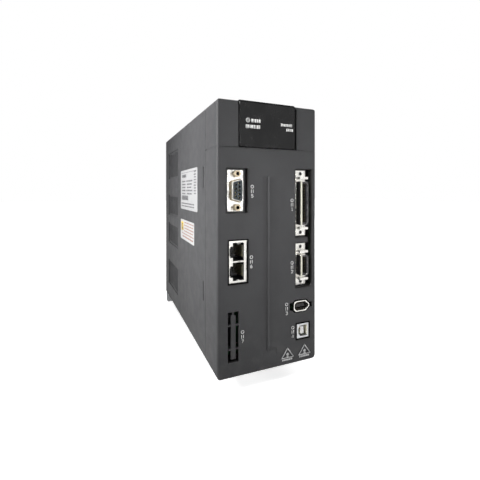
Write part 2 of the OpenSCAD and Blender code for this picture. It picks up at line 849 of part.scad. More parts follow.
module back_plate() {
    plate_d = [body_d - plate_t, body_d];
    color([0.72, 0.73, 0.74]) difference() {
        union() {
            block([1, body_w - 1], plate_d, [1, body_h - 1]);
            face_extrude(plate_d) rounded(ear_left_x, [-body_h - ear_h, -body_h + 10], [3, 3, 0, 0]);
            face_extrude(plate_d) rounded(ear_right_x, [-10, ear_h], [0, 0, 3, 3]);
        }
        bar((ear_left_x[0] + ear_left_x[1]) / 2, plate_d + [-cut, cut], body_h + ear_hole_t, ear_hole_d / 2);
        bar((ear_right_x[0] + ear_right_x[1]) / 2, plate_d + [-cut, cut], -ear_hole_t, ear_hole_d / 2);
        plate_screw_places() {
            translate([0, -plate_t - cut, 0]) rotate([-90, 0, 0]) cylinder(r = 1.6, h = plate_t + 2 * cut);
            rotate([90, 0, 0]) cylinder(r1 = 3.1, r2 = 1.55, h = 1.55);
        }
    }
}

// Where the countersunk screws enter the back plate
module plate_screw_places() {
    for (x = [corner_screw, body_w - corner_screw], t = [corner_screw, body_h - corner_screw])
        at(x, body_d, t) children();
    for (x = sink_rib_x, t = sink_screw_t) at(x, body_d, t) children();
}

module plate_screws() {
    color("silver") plate_screw_places() difference() {
        union() {
            rotate([90, 0, 0]) cylinder(r1 = 3, r2 = 1.5, h = 1.5);
            translate([0, -11, 0]) rotate([-90, 0, 0]) cylinder(r = self_tap_r, h = 10);
        }
        translate([-2, -0.7, -0.3]) cube([4, 1, 0.6]);
        translate([-0.3, -0.7, -2]) cube([0.6, 1, 4]);
    }
}

module ground_screws() {
    color([0.8, 0.75, 0.5])
        for (x = earth_x) difference() {
            union() {
                post(x, earth_d, [191, 200], 2);
                post(x, earth_d, [200, 200.8], 4.5);
                post(x, earth_d, [200.8, 203.4], 3.8);
            }
            block([x - 2.6, x + 2.6], [earth_d - 0.4, earth_d + 0.4], [202.2, 204]);
            block([x - 0.4, x + 0.4], [earth_d - 2.6, earth_d + 2.6], [202.2, 204]);
        }
}

module fan_frame() {
    tube_t = [191, 200.2];
    color([0.12, 0.12, 0.12]) difference() {
        union() {
            difference() {
                plan_extrude(fan_t)
                    rounded([fan_x - fan_half, fan_x + fan_half],
                            [fan_d - fan_half, fan_d + fan_half], [3, 3, 3, 3]);
                post(fan_x, fan_d, fan_t + [-cut, cut], duct_r);
            }
            // Motor base, held by three struts
            post(fan_x, fan_d, [200.2, fan_t[1]], 11.5);
            for (i = [0:2])
                at(fan_x, fan_d, fan_t[1]) rotate(90 + i * 120)
                    translate([0, -1.5, 0]) cube([duct_r + 1, 3, 1.4]);
            post(fan_x, fan_d, tube_t + [0, 0.1], 3.2);
            post(fan_x, fan_d, [193, 198.5], 9);
        }
        post(fan_x, fan_d, [190, 200], shaft_r + 0.05);
        for (i = [-1, 1], j = [-1, 1])
            post(fan_x + i * fan_hole, fan_d + j * fan_hole, fan_t + [-cut, cut], 1.75);
    }
}

module fan_blade() {
    blade_h = 10;
    intersection() {
        difference() {
            cylinder(r = blade_r, h = blade_h);
            translate([0, 0, -cut]) cylinder(r = hub_r - 0.4, h = blade_h + 2 * cut);
        }
        translate([0, 0, blade_h / 2]) rotate([38, 0, 0]) translate([0, -15, -0.6]) cube([30, 30, 1.2]);
    }
}

module fan_rotor() {
    color([0.1, 0.1, 0.1]) {
        difference() {
            post(fan_x, fan_d, [187.8, 199.4], hub_r);
            post(fan_x, fan_d, [189.4, 199.4 + cut], hub_r - 1.5);
        }
        post(fan_x, fan_d, [189.3, 199], shaft_r);
        at(fan_x, fan_d, 199)
            for (i = [0:blade_count - 1]) rotate(i * 360 / blade_count) fan_blade();
    }
}

module fan_guard() {
    guard_t = [202.2, 203.8];
    color([0.15, 0.15, 0.15]) {
        for (r = [8, 15, 22, 28.7])
            difference() {
                post(fan_x, fan_d, guard_t, r);
                post(fan_x, fan_d, guard_t + [-cut, cut], r - 1.6);
            }
        for (i = [0:3])
            at(fan_x, fan_d, guard_t[1]) rotate(45 + i * 90)
                translate([7, -0.8, 0]) cube([20.6, 1.6, 1.6]);
        post(fan_x, fan_d, guard_t, 6.5);
    }
}

module fan_screws() {
    color("silver")
        for (i = [-1, 1], j = [-1, 1])
            at(fan_x + i * fan_hole, fan_d + j * fan_hole, body_h - 0.1) difference() {
                union() {
                    cylinder(r1 = 3.4, r2 = 1.75, h = 1.7);
                    cylinder(r = 1.75, h = 12);
                }
                translate([-2.2, -0.35, -cut]) cube([4.4, 0.7, 1.3]);
                translate([-0.35, -2.2, -cut]) cube([0.7, 4.4, 1.3]);
            }
}

// ---------- Power parts ----------

module bus_capacitors() {
    can_r = 14.8;
    color([0.15, 0.2, 0.35])
        for (x = [28, 60], t = [67, 99]) {
            bar(x, [60, power_d[0]], t, can_r);
        }
}

module igbt_module() {
    ear_z = [igbt_t_mid - 7, igbt_t_mid + 7];
    color([0.85, 0.83, 0.78]) difference() {
        union() {
            block([20, 66], [power_d[1] + 1, base_d[0] - pad_t], [igbt_t_mid - 24, igbt_t_mid + 24]);
            block([10, 76], [base_d[0] - 5, base_d[0] - pad_t], ear_z);
        }
        for (x = igbt_screw_x) bar(x, [power_d[1], base_d[0] + cut], igbt_t_mid, 2.2);
    }
}

module rectifier_module() {
    color([0.2, 0.2, 0.2]) difference() {
        block([rectifier_mid[0] - 14, rectifier_mid[0] + 14], [power_d[1] + 3, base_d[0] - pad_t],
              [rectifier_mid[1] - 14, rectifier_mid[1] + 14]);
        bar(rectifier_mid[0], [power_d[1], base_d[0] + cut], rectifier_mid[1], 2.2);
        bar(rectifier_mid[0], [power_d[1], power_d[1] + 7], rectifier_mid[1], 4.2);
    }
}

module cap_screw(x, head_d, t) {
    difference() {
        union() {
            bar(x, [head_d - 3, head_d], t, 3.6);
            bar(x, [head_d - 0.1, base_d[1] - 1.5], t, 2);
        }
        at(x, head_d - 3 - cut, t) rotate([-90, 0, 0]) cylinder(r = 1.7, h = 2, $fn = 6);
    }
}

module module_screws() {
    color("silver") {
        for (x = igbt_screw_x) cap_screw(x, base_d[0] - 5, igbt_t_mid);
        cap_screw(rectifier_mid[0], power_d[1] + 7, rectifier_mid[1]);
    }
}

module thermal_pads() {
    pad_d = [base_d[0] - pad_t, base_d[0]];
    color([0.6, 0.62, 0.75]) {
        block([20, 66], pad_d, [igbt_t_mid - 22, igbt_t_mid + 22]);
        difference() {
            block([rectifier_mid[0] - 13, rectifier_mid[0] + 13], pad_d,
                  [rectifier_mid[1] - 13, rectifier_mid[1] + 13]);
            bar(rectifier_mid[0], pad_d + [-cut, cut], rectifier_mid[1], 2.3);
        }
    }
}

module inrush_relay() {
    color([0.15, 0.3, 0.55]) block([22, 42], [86, power_d[0]], [27, 42]);
}

module emi_choke() {
    color([0.35, 0.55, 0.35]) difference() {
        bar(choke_mid[0], [91, power_d[0]], choke_mid[1], 10);
        bar(choke_mid[0], [90, power_d[0] + cut], choke_mid[1], 4.5);
    }
}

module supply_transformer() {
    color([0.85, 0.75, 0.3]) {
        block([7, 26], [52, 58], [128, 152]);
        block([7, 26], [72, 78], [128, 152]);
        block([9, 24], [57.9, 72.1], [131, 149]);
    }
}

module current_sensors() {
    color([0.15, 0.15, 0.15])
        for (x = [34, 54]) difference() {
            block([x - 7, x + 7], [91, power_d[0]], [140, 160]);
            post(x, 97, [139, 161], 2.5);
        }
}

module hex_post(x, d, t) {
    at(x, d[0], t) rotate([-90, 0, 0]) cylinder(r = 3.2, h = d[1] - d[0], $fn = 6);
}

module board_standoffs() {
    color([0.8, 0.72, 0.4])
        for (x = standoff_x, t = standoff_t) difference() {
            union() {
                hex_post(x, [control_d[1], power_d[0]], t);
                bar(x, [power_d[0] - 1, power_d[1] + 6], t, screw_r);
            }
            bar(x, [control_d[1] - cut, control_d[1] + 8], t, screw_r);
        }
}

module sink_standoffs() {
    color([0.8, 0.72, 0.4])
        for (x = standoff_x, t = standoff_t) difference() {
            union() {
                hex_post(x, [power_d[1], base_d[0]], t);
                bar(x, [base_d[0] - 1, base_d[0] + 5], t, screw_r);
            }
            bar(x, [power_d[1] - cut, power_d[1] + 7], t, screw_r);
        }
}

module board_screws() {
    color("silver")
        for (x = standoff_x, t = standoff_t) difference() {
            union() {
                bar(x, [control_d[0] - 2.2, control_d[0]], t, 2.8);
                bar(x, [control_d[0] - 0.1, control_d[1] + 6], t, screw_r);
            }
            block([x - 1.8, x + 1.8], [control_d[0] - 3, control_d[0] - 1.2], [t - 0.3, t + 0.3]);
            block([x - 0.3, x + 0.3], [control_d[0] - 3, control_d[0] - 1.2], [t - 1.8, t + 1.8]);
        }
}

// ---------- Terminal blocks: spec holds the left side, the number of poles and their pitch ----------

module terminal_header(spec) {
    x = [spec[0], spec[0] + spec[1] * spec[2] + 2 * terminal_edge];
    color([0.1, 0.3, 0.2]) difference() {
        block(x, terminal_d, [1.2, 21]);
        block(x + [1.4, -1.4], terminal_d + [1.4, -2.4], [0, 16.6]);
    }
}

module terminal_plug(spec) {
    x = [spec[0] + 1.6, spec[0] + spec[1] * spec[2] + 2 * terminal_edge - 1.6];
    color([0.15, 0.45, 0.25]) difference() {
        block(x, terminal_d + [1.6, -2.6], [0.6, 16.4]);
        for (i = [0:spec[1] - 1]) {
            pole_x = spec[0] + terminal_edge + (i + 0.5) * spec[2];
            post(pole_x, terminal_d[0] + 12.8, [0, 11], 1.9);
            block([pole_x - 1.7, pole_x + 1.7], [terminal_d[0] + 4, terminal_d[0] + 7.4], [0, 5]);
        }
    }
}

module power_header() {
    terminal_header(power_terminal);
}

module power_plug() {
    terminal_plug(power_terminal);
}

module motor_header() {
    mirror([0, 0, 1]) terminal_header(motor_terminal);
}

module motor_plug() {
    mirror([0, 0, 1]) terminal_plug(motor_terminal);
}

module regen_header() {
    mirror([0, 0, 1]) terminal_header(regen_terminal);
}

module regen_plug() {
    mirror([0, 0, 1]) terminal_plug(regen_terminal);
}

// ---------- Labels ----------

module nameplate_outline() {
    rounded(nameplate_d, [-nameplate_t[1], -nameplate_t[0]], [2, 2, 2, 2]);
}

module rating_outline() {
    rounded(rating_d, [-rating_t[1], -rating_t[0]], [0.6, 0.6, 0.6, 0.6]);
}

module nameplate() {
    color([0.9, 0.9, 0.9]) side_extrude([0, label_t]) nameplate_outline();
}

module rating_label() {
    color([0.92, 0.9, 0.8]) side_extrude([0, label_t]) rating_outline();
}

main_case();
front_cover();
top_bezel();
display_door();
door_pins();
keypad_panel();
display_module();
key_board();
key_switches();
charge_led();
key_mode();
key_shift();
key_up();
key_down();
key_set();
control_board();
power_board();
supply_board();
dsub_shell();
dsub_insert();
dsub_jackscrews();
rj45_shield();
rj45_housing();
mdr50_shell();
mdr50_insert();
mdr20_shell();
mdr20_insert();
firewire_shell();
firewire_insert();
usb_shell();
usb_insert();
expansion_header();
heatsink();
back_plate();
plate_screws();
ground_screws();
fan_frame();
fan_rotor();
fan_guard();
fan_screws();
bus_capacitors();
igbt_module();
rectifier_module();
module_screws();
thermal_pads();
inrush_relay();
emi_choke();
supply_transformer();
current_sensors();
board_standoffs();
sink_standoffs();
board_screws();
power_header();
power_plug();
motor_header();
motor_plug();
regen_header();
regen_plug();
nameplate();
rating_label();
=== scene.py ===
"""The looks of the servo drive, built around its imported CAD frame.

Places in this file are millimetres: x from the case's left side, t below its top face, and d behind
the crest of the front cover's fold, which is 0.6 mm in front of the flat face. at() turns them into
the frame's metres, measured from the CAD boxes.
"""

import json
import math

import bmesh
import bpy
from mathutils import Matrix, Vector


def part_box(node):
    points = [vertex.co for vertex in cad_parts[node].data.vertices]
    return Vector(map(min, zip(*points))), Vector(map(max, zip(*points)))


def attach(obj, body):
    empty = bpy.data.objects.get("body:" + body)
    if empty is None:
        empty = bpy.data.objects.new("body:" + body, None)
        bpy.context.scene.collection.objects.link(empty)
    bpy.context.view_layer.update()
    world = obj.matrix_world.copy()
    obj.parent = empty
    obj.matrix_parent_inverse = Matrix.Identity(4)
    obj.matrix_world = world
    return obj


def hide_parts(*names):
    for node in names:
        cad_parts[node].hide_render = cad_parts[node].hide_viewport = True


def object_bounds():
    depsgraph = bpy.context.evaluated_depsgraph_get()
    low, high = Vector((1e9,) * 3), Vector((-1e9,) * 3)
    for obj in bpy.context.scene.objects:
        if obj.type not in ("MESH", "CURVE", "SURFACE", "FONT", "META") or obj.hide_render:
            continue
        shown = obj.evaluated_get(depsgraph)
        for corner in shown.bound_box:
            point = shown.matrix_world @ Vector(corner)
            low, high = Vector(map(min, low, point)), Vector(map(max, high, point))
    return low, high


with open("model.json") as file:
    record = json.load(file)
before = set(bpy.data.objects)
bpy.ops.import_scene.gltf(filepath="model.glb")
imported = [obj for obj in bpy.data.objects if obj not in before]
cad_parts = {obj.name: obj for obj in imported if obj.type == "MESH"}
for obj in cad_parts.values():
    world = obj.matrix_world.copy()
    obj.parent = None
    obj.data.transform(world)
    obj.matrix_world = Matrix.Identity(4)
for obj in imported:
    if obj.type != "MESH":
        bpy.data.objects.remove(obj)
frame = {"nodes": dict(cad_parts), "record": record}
cad_low, cad_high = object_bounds()

MM = 0.001
CASE_LOW, CASE_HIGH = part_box("main_case")
LEFT = CASE_LOW.x
TOP = CASE_HIGH.z
# The crest of the long fold, not the flat face, which is 0.6 mm further back.
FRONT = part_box("front_cover")[0].y
WIDTH = (CASE_HIGH.x - CASE_LOW.x) / MM
HEIGHT = (CASE_HIGH.z - CASE_LOW.z) / MM


def at(x, d, t):
    """The point x from the left side, d behind FRONT and t below the top, in the frame."""
    return Vector((LEFT + x * MM, FRONT + d * MM, TOP - t * MM))


def span(node):
    """A CAD node's box in millimetres: its ranges of x, d and t."""
    low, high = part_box(node)
    x = [(low.x - LEFT) / MM, (high.x - LEFT) / MM]
    d = [(low.y - FRONT) / MM, (high.y - FRONT) / MM]
    t = [(TOP - high.z) / MM, (TOP - low.z) / MM]
    return x, d, t


# ---------- Materials ----------


class Shader:
    """A node material: the helpers add nodes that feed its Principled shader."""

    def __init__(self, name, **values):
        self.material = bpy.data.materials.new(name)
        self.material.use_nodes = True
        self.tree = self.material.node_tree
        self.out = self.tree.nodes["Principled BSDF"]
        coordinates = self.tree.nodes.new("ShaderNodeTexCoord")
        self.place = coordinates.outputs["Object"]
        self.height = None
        for socket, value in values.items():
            self.out.inputs[socket.replace("_", " ")].default_value = value

    def node(self, kind, inputs=None, **settings):
        """A new node: inputs are values or other nodes' outputs, by the socket's name or number."""
        made = self.tree.nodes.new("ShaderNode" + kind)
        for key, value in settings.items():
            setattr(made, key, value)
        for key, value in (inputs or {}).items():
            if isinstance(value, bpy.types.NodeSocket):
                self.tree.links.new(value, made.inputs[key])
            else:
                made.inputs[key].default_value = value
        return made

    def link(self, output, socket):
        self.tree.links.new(output, self.out.inputs[socket])

    def stretched(self, scale):
        """The object's coordinates, scaled by a different amount along each axis."""
        return self.node("Mapping", {"Vector": self.place, "Scale": scale}).outputs[0]

    def noise(self, size, detail=3.0, roughness=0.55, vector=None):
        """Noise whose blotches are about size millimetres across."""
        inputs = {
            "Vector": vector or self.place,
            "Scale": 1 / (size * MM),
            "Detail": detail,
            "Roughness": roughness,
        }
        return self.node("TexNoise", inputs).outputs["Fac"]

    def ramp(self, value, low, high, start, end, smooth=True):
        """Takes value from the range low..high to start..end and stops at both."""
        inputs = {"Value": value, "From Min": low, "From Max": high, "To Min": start, "To Max": end}
        kind = "SMOOTHSTEP" if smooth else "LINEAR"
        return self.node("MapRange", inputs, interpolation_type=kind).outputs["Result"]

    def math(self, operation, first, second):
        return self.node("Math", {0: first, 1: second}, operation=operation).outputs[0]

    def mix(self, share, first, second):
        """Mixes two colours by share."""
        made = self.node("Mix", {"Factor": share}, data_type="RGBA")
        for key, value in (("A", first), ("B", second)):
            socket = [s for s in made.inputs if s.name == key and s.type == "RGBA"][0]
            if isinstance(value, bpy.types.NodeSocket):
                self.tree.links.new(value, socket)
            else:
                socket.default_value = (*value, 1)
        return [s for s in made.outputs if s.type == "RGBA"][0]

    def vary(self, share, colour, low, high):
        """The colour, from low to high times as bright by share."""
        return self.mix(share, tone(colour, low), tone(colour, high))

    def bump(self, height, depth):
        """Adds relief that is depth millimetres deep."""
        inputs = {"Height": height, "Strength": 1.0, "Distance": depth * MM}
        if self.height:
            inputs["Normal"] = self.height
        self.height = self.node("Bump", inputs).outputs["Normal"]
        self.link(self.height, "Normal")


def tone(colour, factor):
    return tuple(min(1.0, c * factor) for c in colour)


def moulded(name, colour, rough=0.5, grain=0.35, relief=0.02, contrast=0.12, **values):
    """Moulded plastic: fine grain, faint flow marks and uneven gloss."""
    s = Shader(name, **values)
    flow = s.noise(26, 2.0)
    fine = s.noise(grain, 2.0, 0.6)
    base = s.vary(s.ramp(flow, 0.35, 0.65, 0, 1), colour, 1 - contrast, 1 + contrast)
    speck = s.vary(s.ramp(fine, 0.3, 0.7, 0, 1), colour, 1 - contrast / 2, 1 + contrast / 2)
    s.link(s.mix(0.45, base, speck), "Base Color")
    s.link(s.ramp(s.noise(7, 3.0), 0.3, 0.7, rough - 0.05, rough + 0.06), "Roughness")
    s.bump(fine, relief)
    return s


def case_plastic():
    """Dark grey textured plastic, with rub marks and a little dust that has settled low down."""
    colour = (0.05, 0.05, 0.052)
    s = Shader("case_plastic", IOR=1.46, Specular_IOR_Level=0.24)
    grain = s.noise(0.42, 2.0, 0.65)
    cells = s.node("TexVoronoi", {"Vector": s.place, "Scale": 1 / (0.55 * MM)}).outputs["Distance"]
    flow = s.noise(30, 2.0)
    base = s.vary(s.ramp(flow, 0.3, 0.7, 0, 1), colour, 0.93, 1.07)
    base = s.mix(s.ramp(grain, 0.3, 0.75, 0, 0.3), base, tone(colour, 1.35))
    rubs = s.noise(5, 4.0, 0.7, s.stretched((1.0, 0.25, 1.6)))
    base = s.mix(s.ramp(rubs, 0.62, 0.74, 0, 0.08), base, tone(colour, 1.6))
    up = s.node("SeparateXYZ", {0: s.place}).outputs["Z"]
    low = s.ramp(up, TOP - HEIGHT * MM, TOP - 0.72 * HEIGHT * MM, 1, 0)
    dust = s.math("MULTIPLY", low, s.ramp(s.noise(12, 4.0), 0.45, 0.7, 0, 0.14))
    s.link(s.mix(dust, base, (0.15, 0.147, 0.14)), "Base Color")
    s.link(s.ramp(s.noise(9, 4.0), 0.3, 0.7, 0.49, 0.57), "Roughness")
    s.bump(s.math("ADD", grain, s.math("MULTIPLY", cells, 0.6)), 0.035)
    return s


def door_plastic():
    """Black polished plastic with faint finger smudges and hairline scratches."""
    s = Shader("door_plastic", IOR=1.49, Specular_IOR_Level=0.26, Coat_Weight=0.1, Coat_Roughness=0.08)
    smudge = s.noise(11, 4.0, 0.6)
    base = s.mix(s.ramp(smudge, 0.4, 0.7, 0, 1), (0.006, 0.006, 0.0063), (0.0095, 0.0095, 0.0098))
    s.link(base, "Base Color")
    hairs = s.noise(1.2, 2.0, 0.5, s.stretched((1.0, 1.0, 0.06)))
    rough = s.ramp(smudge, 0.35, 0.7, 0.16, 0.3)
    s.link(s.math("ADD", rough, s.ramp(hairs, 0.66, 0.72, 0, 0.12)), "Roughness")
    s.bump(s.noise(2.5, 1.0), 0.004)
    return s


def plated(name, colour, rough, direction, relief=0.006, tarnish=0.7):
    """Plated metal: fine lines along one direction, blotches of tarnish and small scratches."""
    s = Shader(name, Metallic=1.0)
    lines = s.noise(0.5, 3.0, 0.6, s.stretched(direction))
    blotch = s.noise(6, 4.0, 0.6)
    base = s.mix(s.ramp(blotch, 0.45, 0.75, 0, tarnish), colour, tone(colour, 0.84))
    base = s.mix(s.ramp(lines, 0.35, 0.7, 0, 0.25), base, tone(colour, 0.75))
    s.link(base, "Base Color")
    streak = s.ramp(lines, 0.3, 0.7, rough - 0.07, rough + 0.08)
    s.link(s.math("ADD", streak, s.ramp(blotch, 0.5, 0.8, 0, 0.1)), "Roughness")
    s.bump(lines, relief)
    return s


def circuit_board():
    """Green solder mask over copper tracks, with rows of pads."""
    s = Shader("circuit_board", IOR=1.5, Coat_Weight=0.4, Coat_Roughness=0.15)
    mask = (0.012, 0.12, 0.045)
    tracks = s.node("TexBrick", {
        "Vector": s.place, "Scale": 1 / (9 * MM), "Mortar Size": 0.06, "Brick Width": 0.5, "Row Height": 0.23,
    })
    base = s.mix(tracks.outputs["Fac"], mask, (0.03, 0.2, 0.07))
    dots = s.node("TexVoronoi", {"Vector": s.place, "Scale": 1 / (4.2 * MM), "Randomness": 0.55})
    pads = s.ramp(dots.outputs["Distance"], 0.1, 0.13, 1, 0)
    s.link(s.mix(pads, base, (0.5, 0.5, 0.47)), "Base Color")
    s.link(s.ramp(s.noise(3, 3.0), 0.3, 0.7, 0.3, 0.42), "Roughness")
    s.bump(s.math("ADD", tracks.outputs["Fac"], pads), 0.035)
    return s


def label_film():
    """White printed film with a faint sheen and fine dust specks."""
    s = Shader("label_film", IOR=1.45, Coat_Weight=0.2, Coat_Roughness=0.3)
    specks = s.node("TexVoronoi", {"Vector": s.place, "Scale": 1 / (3.1 * MM)}).outputs["Distance"]
    base = s.mix(s.ramp(s.noise(14, 3.0), 0.3, 0.7, 0, 1), (0.37, 0.37, 0.366), (0.41, 0.41, 0.405))
    s.link(s.mix(s.ramp(specks, 0.03, 0.05, 0.5, 0), base, (0.35, 0.34, 0.32)), "Base Color")
    s.link(s.ramp(s.noise(5, 2.0), 0.3, 0.7, 0.38, 0.5), "Roughness")
    s.bump(s.noise(1.4, 2.0), 0.006)
    return s


def ink(name, colour):
    """Screen-printed ink: slightly uneven cover and a dry surface."""
    s = Shader(name, IOR=1.45)
    cover = s.noise(0.5, 2.0)
    s.link(s.vary(s.ramp(cover, 0.3, 0.7, 0, 1), colour, 0.88, 1.05), "Base Color")
    s.link(s.ramp(cover, 0.3, 0.7, 0.5, 0.65), "Roughness")
    s.bump(cover, 0.004)
    return s


SHADERS = {
    "case_plastic": case_plastic(),
    "door_plastic": door_plastic(),
    "display_red": moulded("display_red", (0.07, 0.006, 0.006), 0.12, 1.2, 0.003, 0.1, Coat_Weight=0.5),
    "led_red": moulded("led_red", (0.6, 0.03, 0.02), 0.15, 0.8, 0.003, 0.08, Transmission_Weight=0.3),
    "circuit_board": circuit_board(),
    "label_film": label_film(),
}
# Colour, roughness, grain, relief and contrast, for moulded().
MOULDED = {
    "panel_plastic": ((0.022, 0.022, 0.024), 0.42, 0.3, 0.012),
    "key_plastic": ((0.3, 0.3, 0.31), 0.4, 0.4, 0.01, 0.06),
    "black_resin": ((0.014, 0.014, 0.015), 0.45, 0.3, 0.012),
    "grey_resin": ((0.06, 0.058, 0.06), 0.42, 0.3, 0.012),
    "white_resin": ((0.76, 0.76, 0.74), 0.4, 0.4, 0.01, 0.05),
    "fan_plastic": ((0.018, 0.018, 0.02), 0.48, 0.45, 0.015),
    "capacitor_sleeve": ((0.02, 0.035, 0.09), 0.3, 1.0, 0.01, 0.1),
    "module_resin": ((0.42, 0.4, 0.34), 0.5, 0.5, 0.015, 0.08),
    "thermal_film": ((0.32, 0.34, 0.46), 0.6, 0.8, 0.02, 0.1),
    "relay_blue": ((0.02, 0.09, 0.28), 0.35, 0.5, 0.01, 0.08),
    "ferrite": ((0.035, 0.035, 0.036), 0.55, 0.5, 0.02),
    "terminal_green": ((0.03, 0.2, 0.08), 0.4, 0.4, 0.012, 0.08),
}
# Colour, roughness, direction of the lines, relief and tarnish, for plated().
PLATED = {
    "bright_steel": ((0.9, 0.885, 0.84), 0.27, (1.0, 1.0, 0.12), 0.004, 0.35),
    "usb_shell_metal": ((0.56, 0.57, 0.58), 0.36, (1.0, 1.0, 0.15), 0.006),
    "fastener_steel": ((0.72, 0.69, 0.6), 0.3, (1.0, 1.0, 1.0), 0.006),
    "plate_steel": ((0.64, 0.65, 0.66), 0.4, (0.05, 1.0, 1.0), 0.01),
    "heatsink_aluminium": ((0.72, 0.73, 0.75), 0.36, (1.0, 1.0, 0.03), 0.012),
    "standoff_brass": ((0.75, 0.58, 0.28), 0.3, (1.0, 0.2, 1.0), 0.006),
}
SHADERS.update((slot, moulded(slot, *look)) for slot, look in MOULDED.items())
SHADERS.update((slot, plated(slot, *look)) for slot, look in PLATED.items())
INK_WHITE = ink("ink_white", (0.62, 0.62, 0.61))
INK_PALE = ink("ink_pale", (0.5, 0.5, 0.5))
INK_GREY = ink("ink_grey", (0.09, 0.09, 0.095))
INK_BROWN = ink("ink_brown", (0.28, 0.1, 0.06))
INK_YELLOW = ink("ink_yellow", (0.62, 0.42, 0.03))
SILVER_FILM = moulded("silver_film", (0.35, 0.35, 0.352), 0.42, 0.3, 0.003, 0.05, Metallic=0.15)
OLIVE = moulded("olive_resin", (0.2, 0.195, 0.14), 0.5, 0.4, 0.01)
SLATE = moulded("slate_resin", (0.013, 0.021, 0.025), 0.5, 0.4, 0.01)
SOCKET_DARK = moulded("socket_dark", (0.012, 0.011, 0.011), 0.5, 0.4, 0.01)
COMB_GREY = moulded("comb_grey", (0.062, 0.062, 0.066), 0.55, 0.4, 0.01)
# Flat black with almost no sheen: painted shade in the jackscrews' bores and in the gaps round sockets and
# door.
SHADE_BLACK = moulded("painted_shade_black", (0.0025, 0.0025, 0.0025), 0.8, 0.4, 0.01, Specular_IOR_Level=0.06)
GOLD = plated("contact_gold", (0.8, 0.6, 0.28), 0.28, (1.0, 1.0, 0.3), 0.003)
DULL_GOLD = plated("dull_gold", (0.36, 0.31, 0.17), 0.42, (1.0, 1.0, 0.3), 0.003)
CREAM_STEEL = plated("cream_steel", (0.7, 0.69, 0.58), 0.42, (1.0, 1.0, 0.2), 0.003, 0.3)
TAN_STEEL = plated("tan_steel", (0.44, 0.37, 0.26), 0.4, (1.0, 1.0, 0.4), 0.004)
# A darker copy of the tan steel: painted shade round the serial socket's shell.
SHADED_COLLAR_STEEL = plated("shaded_collar_steel", (0.27, 0.23, 0.16), 0.45, (1.0, 1.0, 0.4), 0.004)
COPPER = plated("enamelled_copper", (0.62, 0.27, 0.12), 0.3, (1.0, 1.0, 1.0), 0.004)
CAN_TOP = plated("can_aluminium", (0.74, 0.75, 0.76), 0.34, (1.0, 1.0, 1.0), 0.004)
TONGUE_WHITE = moulded("tongue_white", (0.93, 0.93, 0.92), 0.35, 0.4, 0.01, 0.03)
TAPE = moulded("yellow_tape", (0.5, 0.36, 0.05), 0.35, 0.8, 0.01, 0.08)
LIT_RED = moulded(
    "lit_red", (0.6, 0.02, 0.01), 0.3, 0.6, 0.003, 0.08,
    Emission_Color=(1.0, 0.04, 0.02, 1.0), Emission_Strength=0.9,
)
UNLIT_RED = moulded("unlit_red", (0.11, 0.012, 0.01), 0.3, 0.6, 0.003, 0.08)

OWN_SHADERS = {
    "dsub_insert": SLATE,
    "dsub_jackscrews": TAN_STEEL,
    "firewire_insert": SOCKET_DARK,
    "usb_insert": TONGUE_WHITE,
}

EDGE_WIDTH = {
    "main_case": 0.12, "front_cover": 0.14, "heatsink": 0.15, "top_bezel": 0.2, "back_plate": 0.2,
    "fan_frame": 0.25, "fan_guard": 0.3, "display_door": 0.5, "igbt_module": 0.5,
    "rectifier_module": 0.5, "current_sensors": 0.5, "supply_transformer": 0.5, "inrush_relay": 0.6,
}
DEFAULT_EDGE = 0.09


def soften(piece, width, segments=2):
    """Rounds the sharp edges a little, as every moulded or pressed edge is."""
    weld = piece.modifiers.new("weld", "WELD")
    weld.merge_threshold = 0.001 * MM
    edge = piece.modifiers.new("edge", "BEVEL")
    edge.width = width * MM
    edge.segments = segments
    edge.limit_method = "ANGLE"
    edge.angle_limit = math.radians(34)
    edge.use_clamp_overlap = False
    edge.miter_outer = "MITER_ARC"
    edge.face_strength_mode = "FSTR_ALL"
    normals = piece.modifiers.new("normals", "WEIGHTED_NORMAL")
    normals.keep_sharp = False
    normals.use_face_influence = True


for part in frame["record"]["subparts"]:
    node, slot = part["node"], part["material_slot"]
    shown = frame["nodes"][node]
    shown.data.materials.clear()
    shown.data.materials.append(OWN_SHADERS.get(node, SHADERS[slot]).material)
    width = EDGE_WIDTH.get(node, DEFAULT_EDGE)
    soften(shown, width, 3 if width >= 0.5 else 2)


# ---------- Shapes ----------


AXES = {"x": 0, "d": 1, "t": 2}


def polar(centre, radius, angle):
    return centre[0] + radius * math.cos(angle), centre[1] + radius * math.sin(angle)


def ring_points(radius, sides, start=0.0, turn=2 * math.pi, centre=(0, 0)):
    """Points round an arc; a full turn doesn't repeat its first point."""
    steps = sides if turn >= 2 * math.pi else sides - 1
    return [polar(centre, radius, start + turn * i / steps) for i in range(sides)]


def around(middle, half):
    """The range that reaches half to either side of middle."""
    return middle - half, middle + half


def corners(a, b, grow=0.0):
    """The corners of a rectangle over the ranges a and b, with each side moved out by grow."""
    (a1, a2), (b1, b2) = (a[0] - grow, a[1] + grow), (b[0] - grow, b[1] + grow)
    return [(a1, b1), (a2, b1), (a2, b2), (a1, b2)]


def rounded(a, b, radius, steps=4):
    """A rectangle over the ranges a and b with round corners."""
    centres = [
        (a[1] - radius, b[1] - radius, 0),
        (a[0] + radius, b[1] - radius, 1),
        (a[0] + radius, b[0] + radius, 2),
        (a[1] - radius, b[0] + radius, 3),
    ]
    points = []
    for u, v, quarter in centres:
        points += ring_points(radius, steps + 1, quarter * math.pi / 2, math.pi / 2, (u, v))
    return points


def add_object(name, data):
    made = bpy.data.objects.new(name, data)
    bpy.context.scene.collection.objects.link(made)
    return made


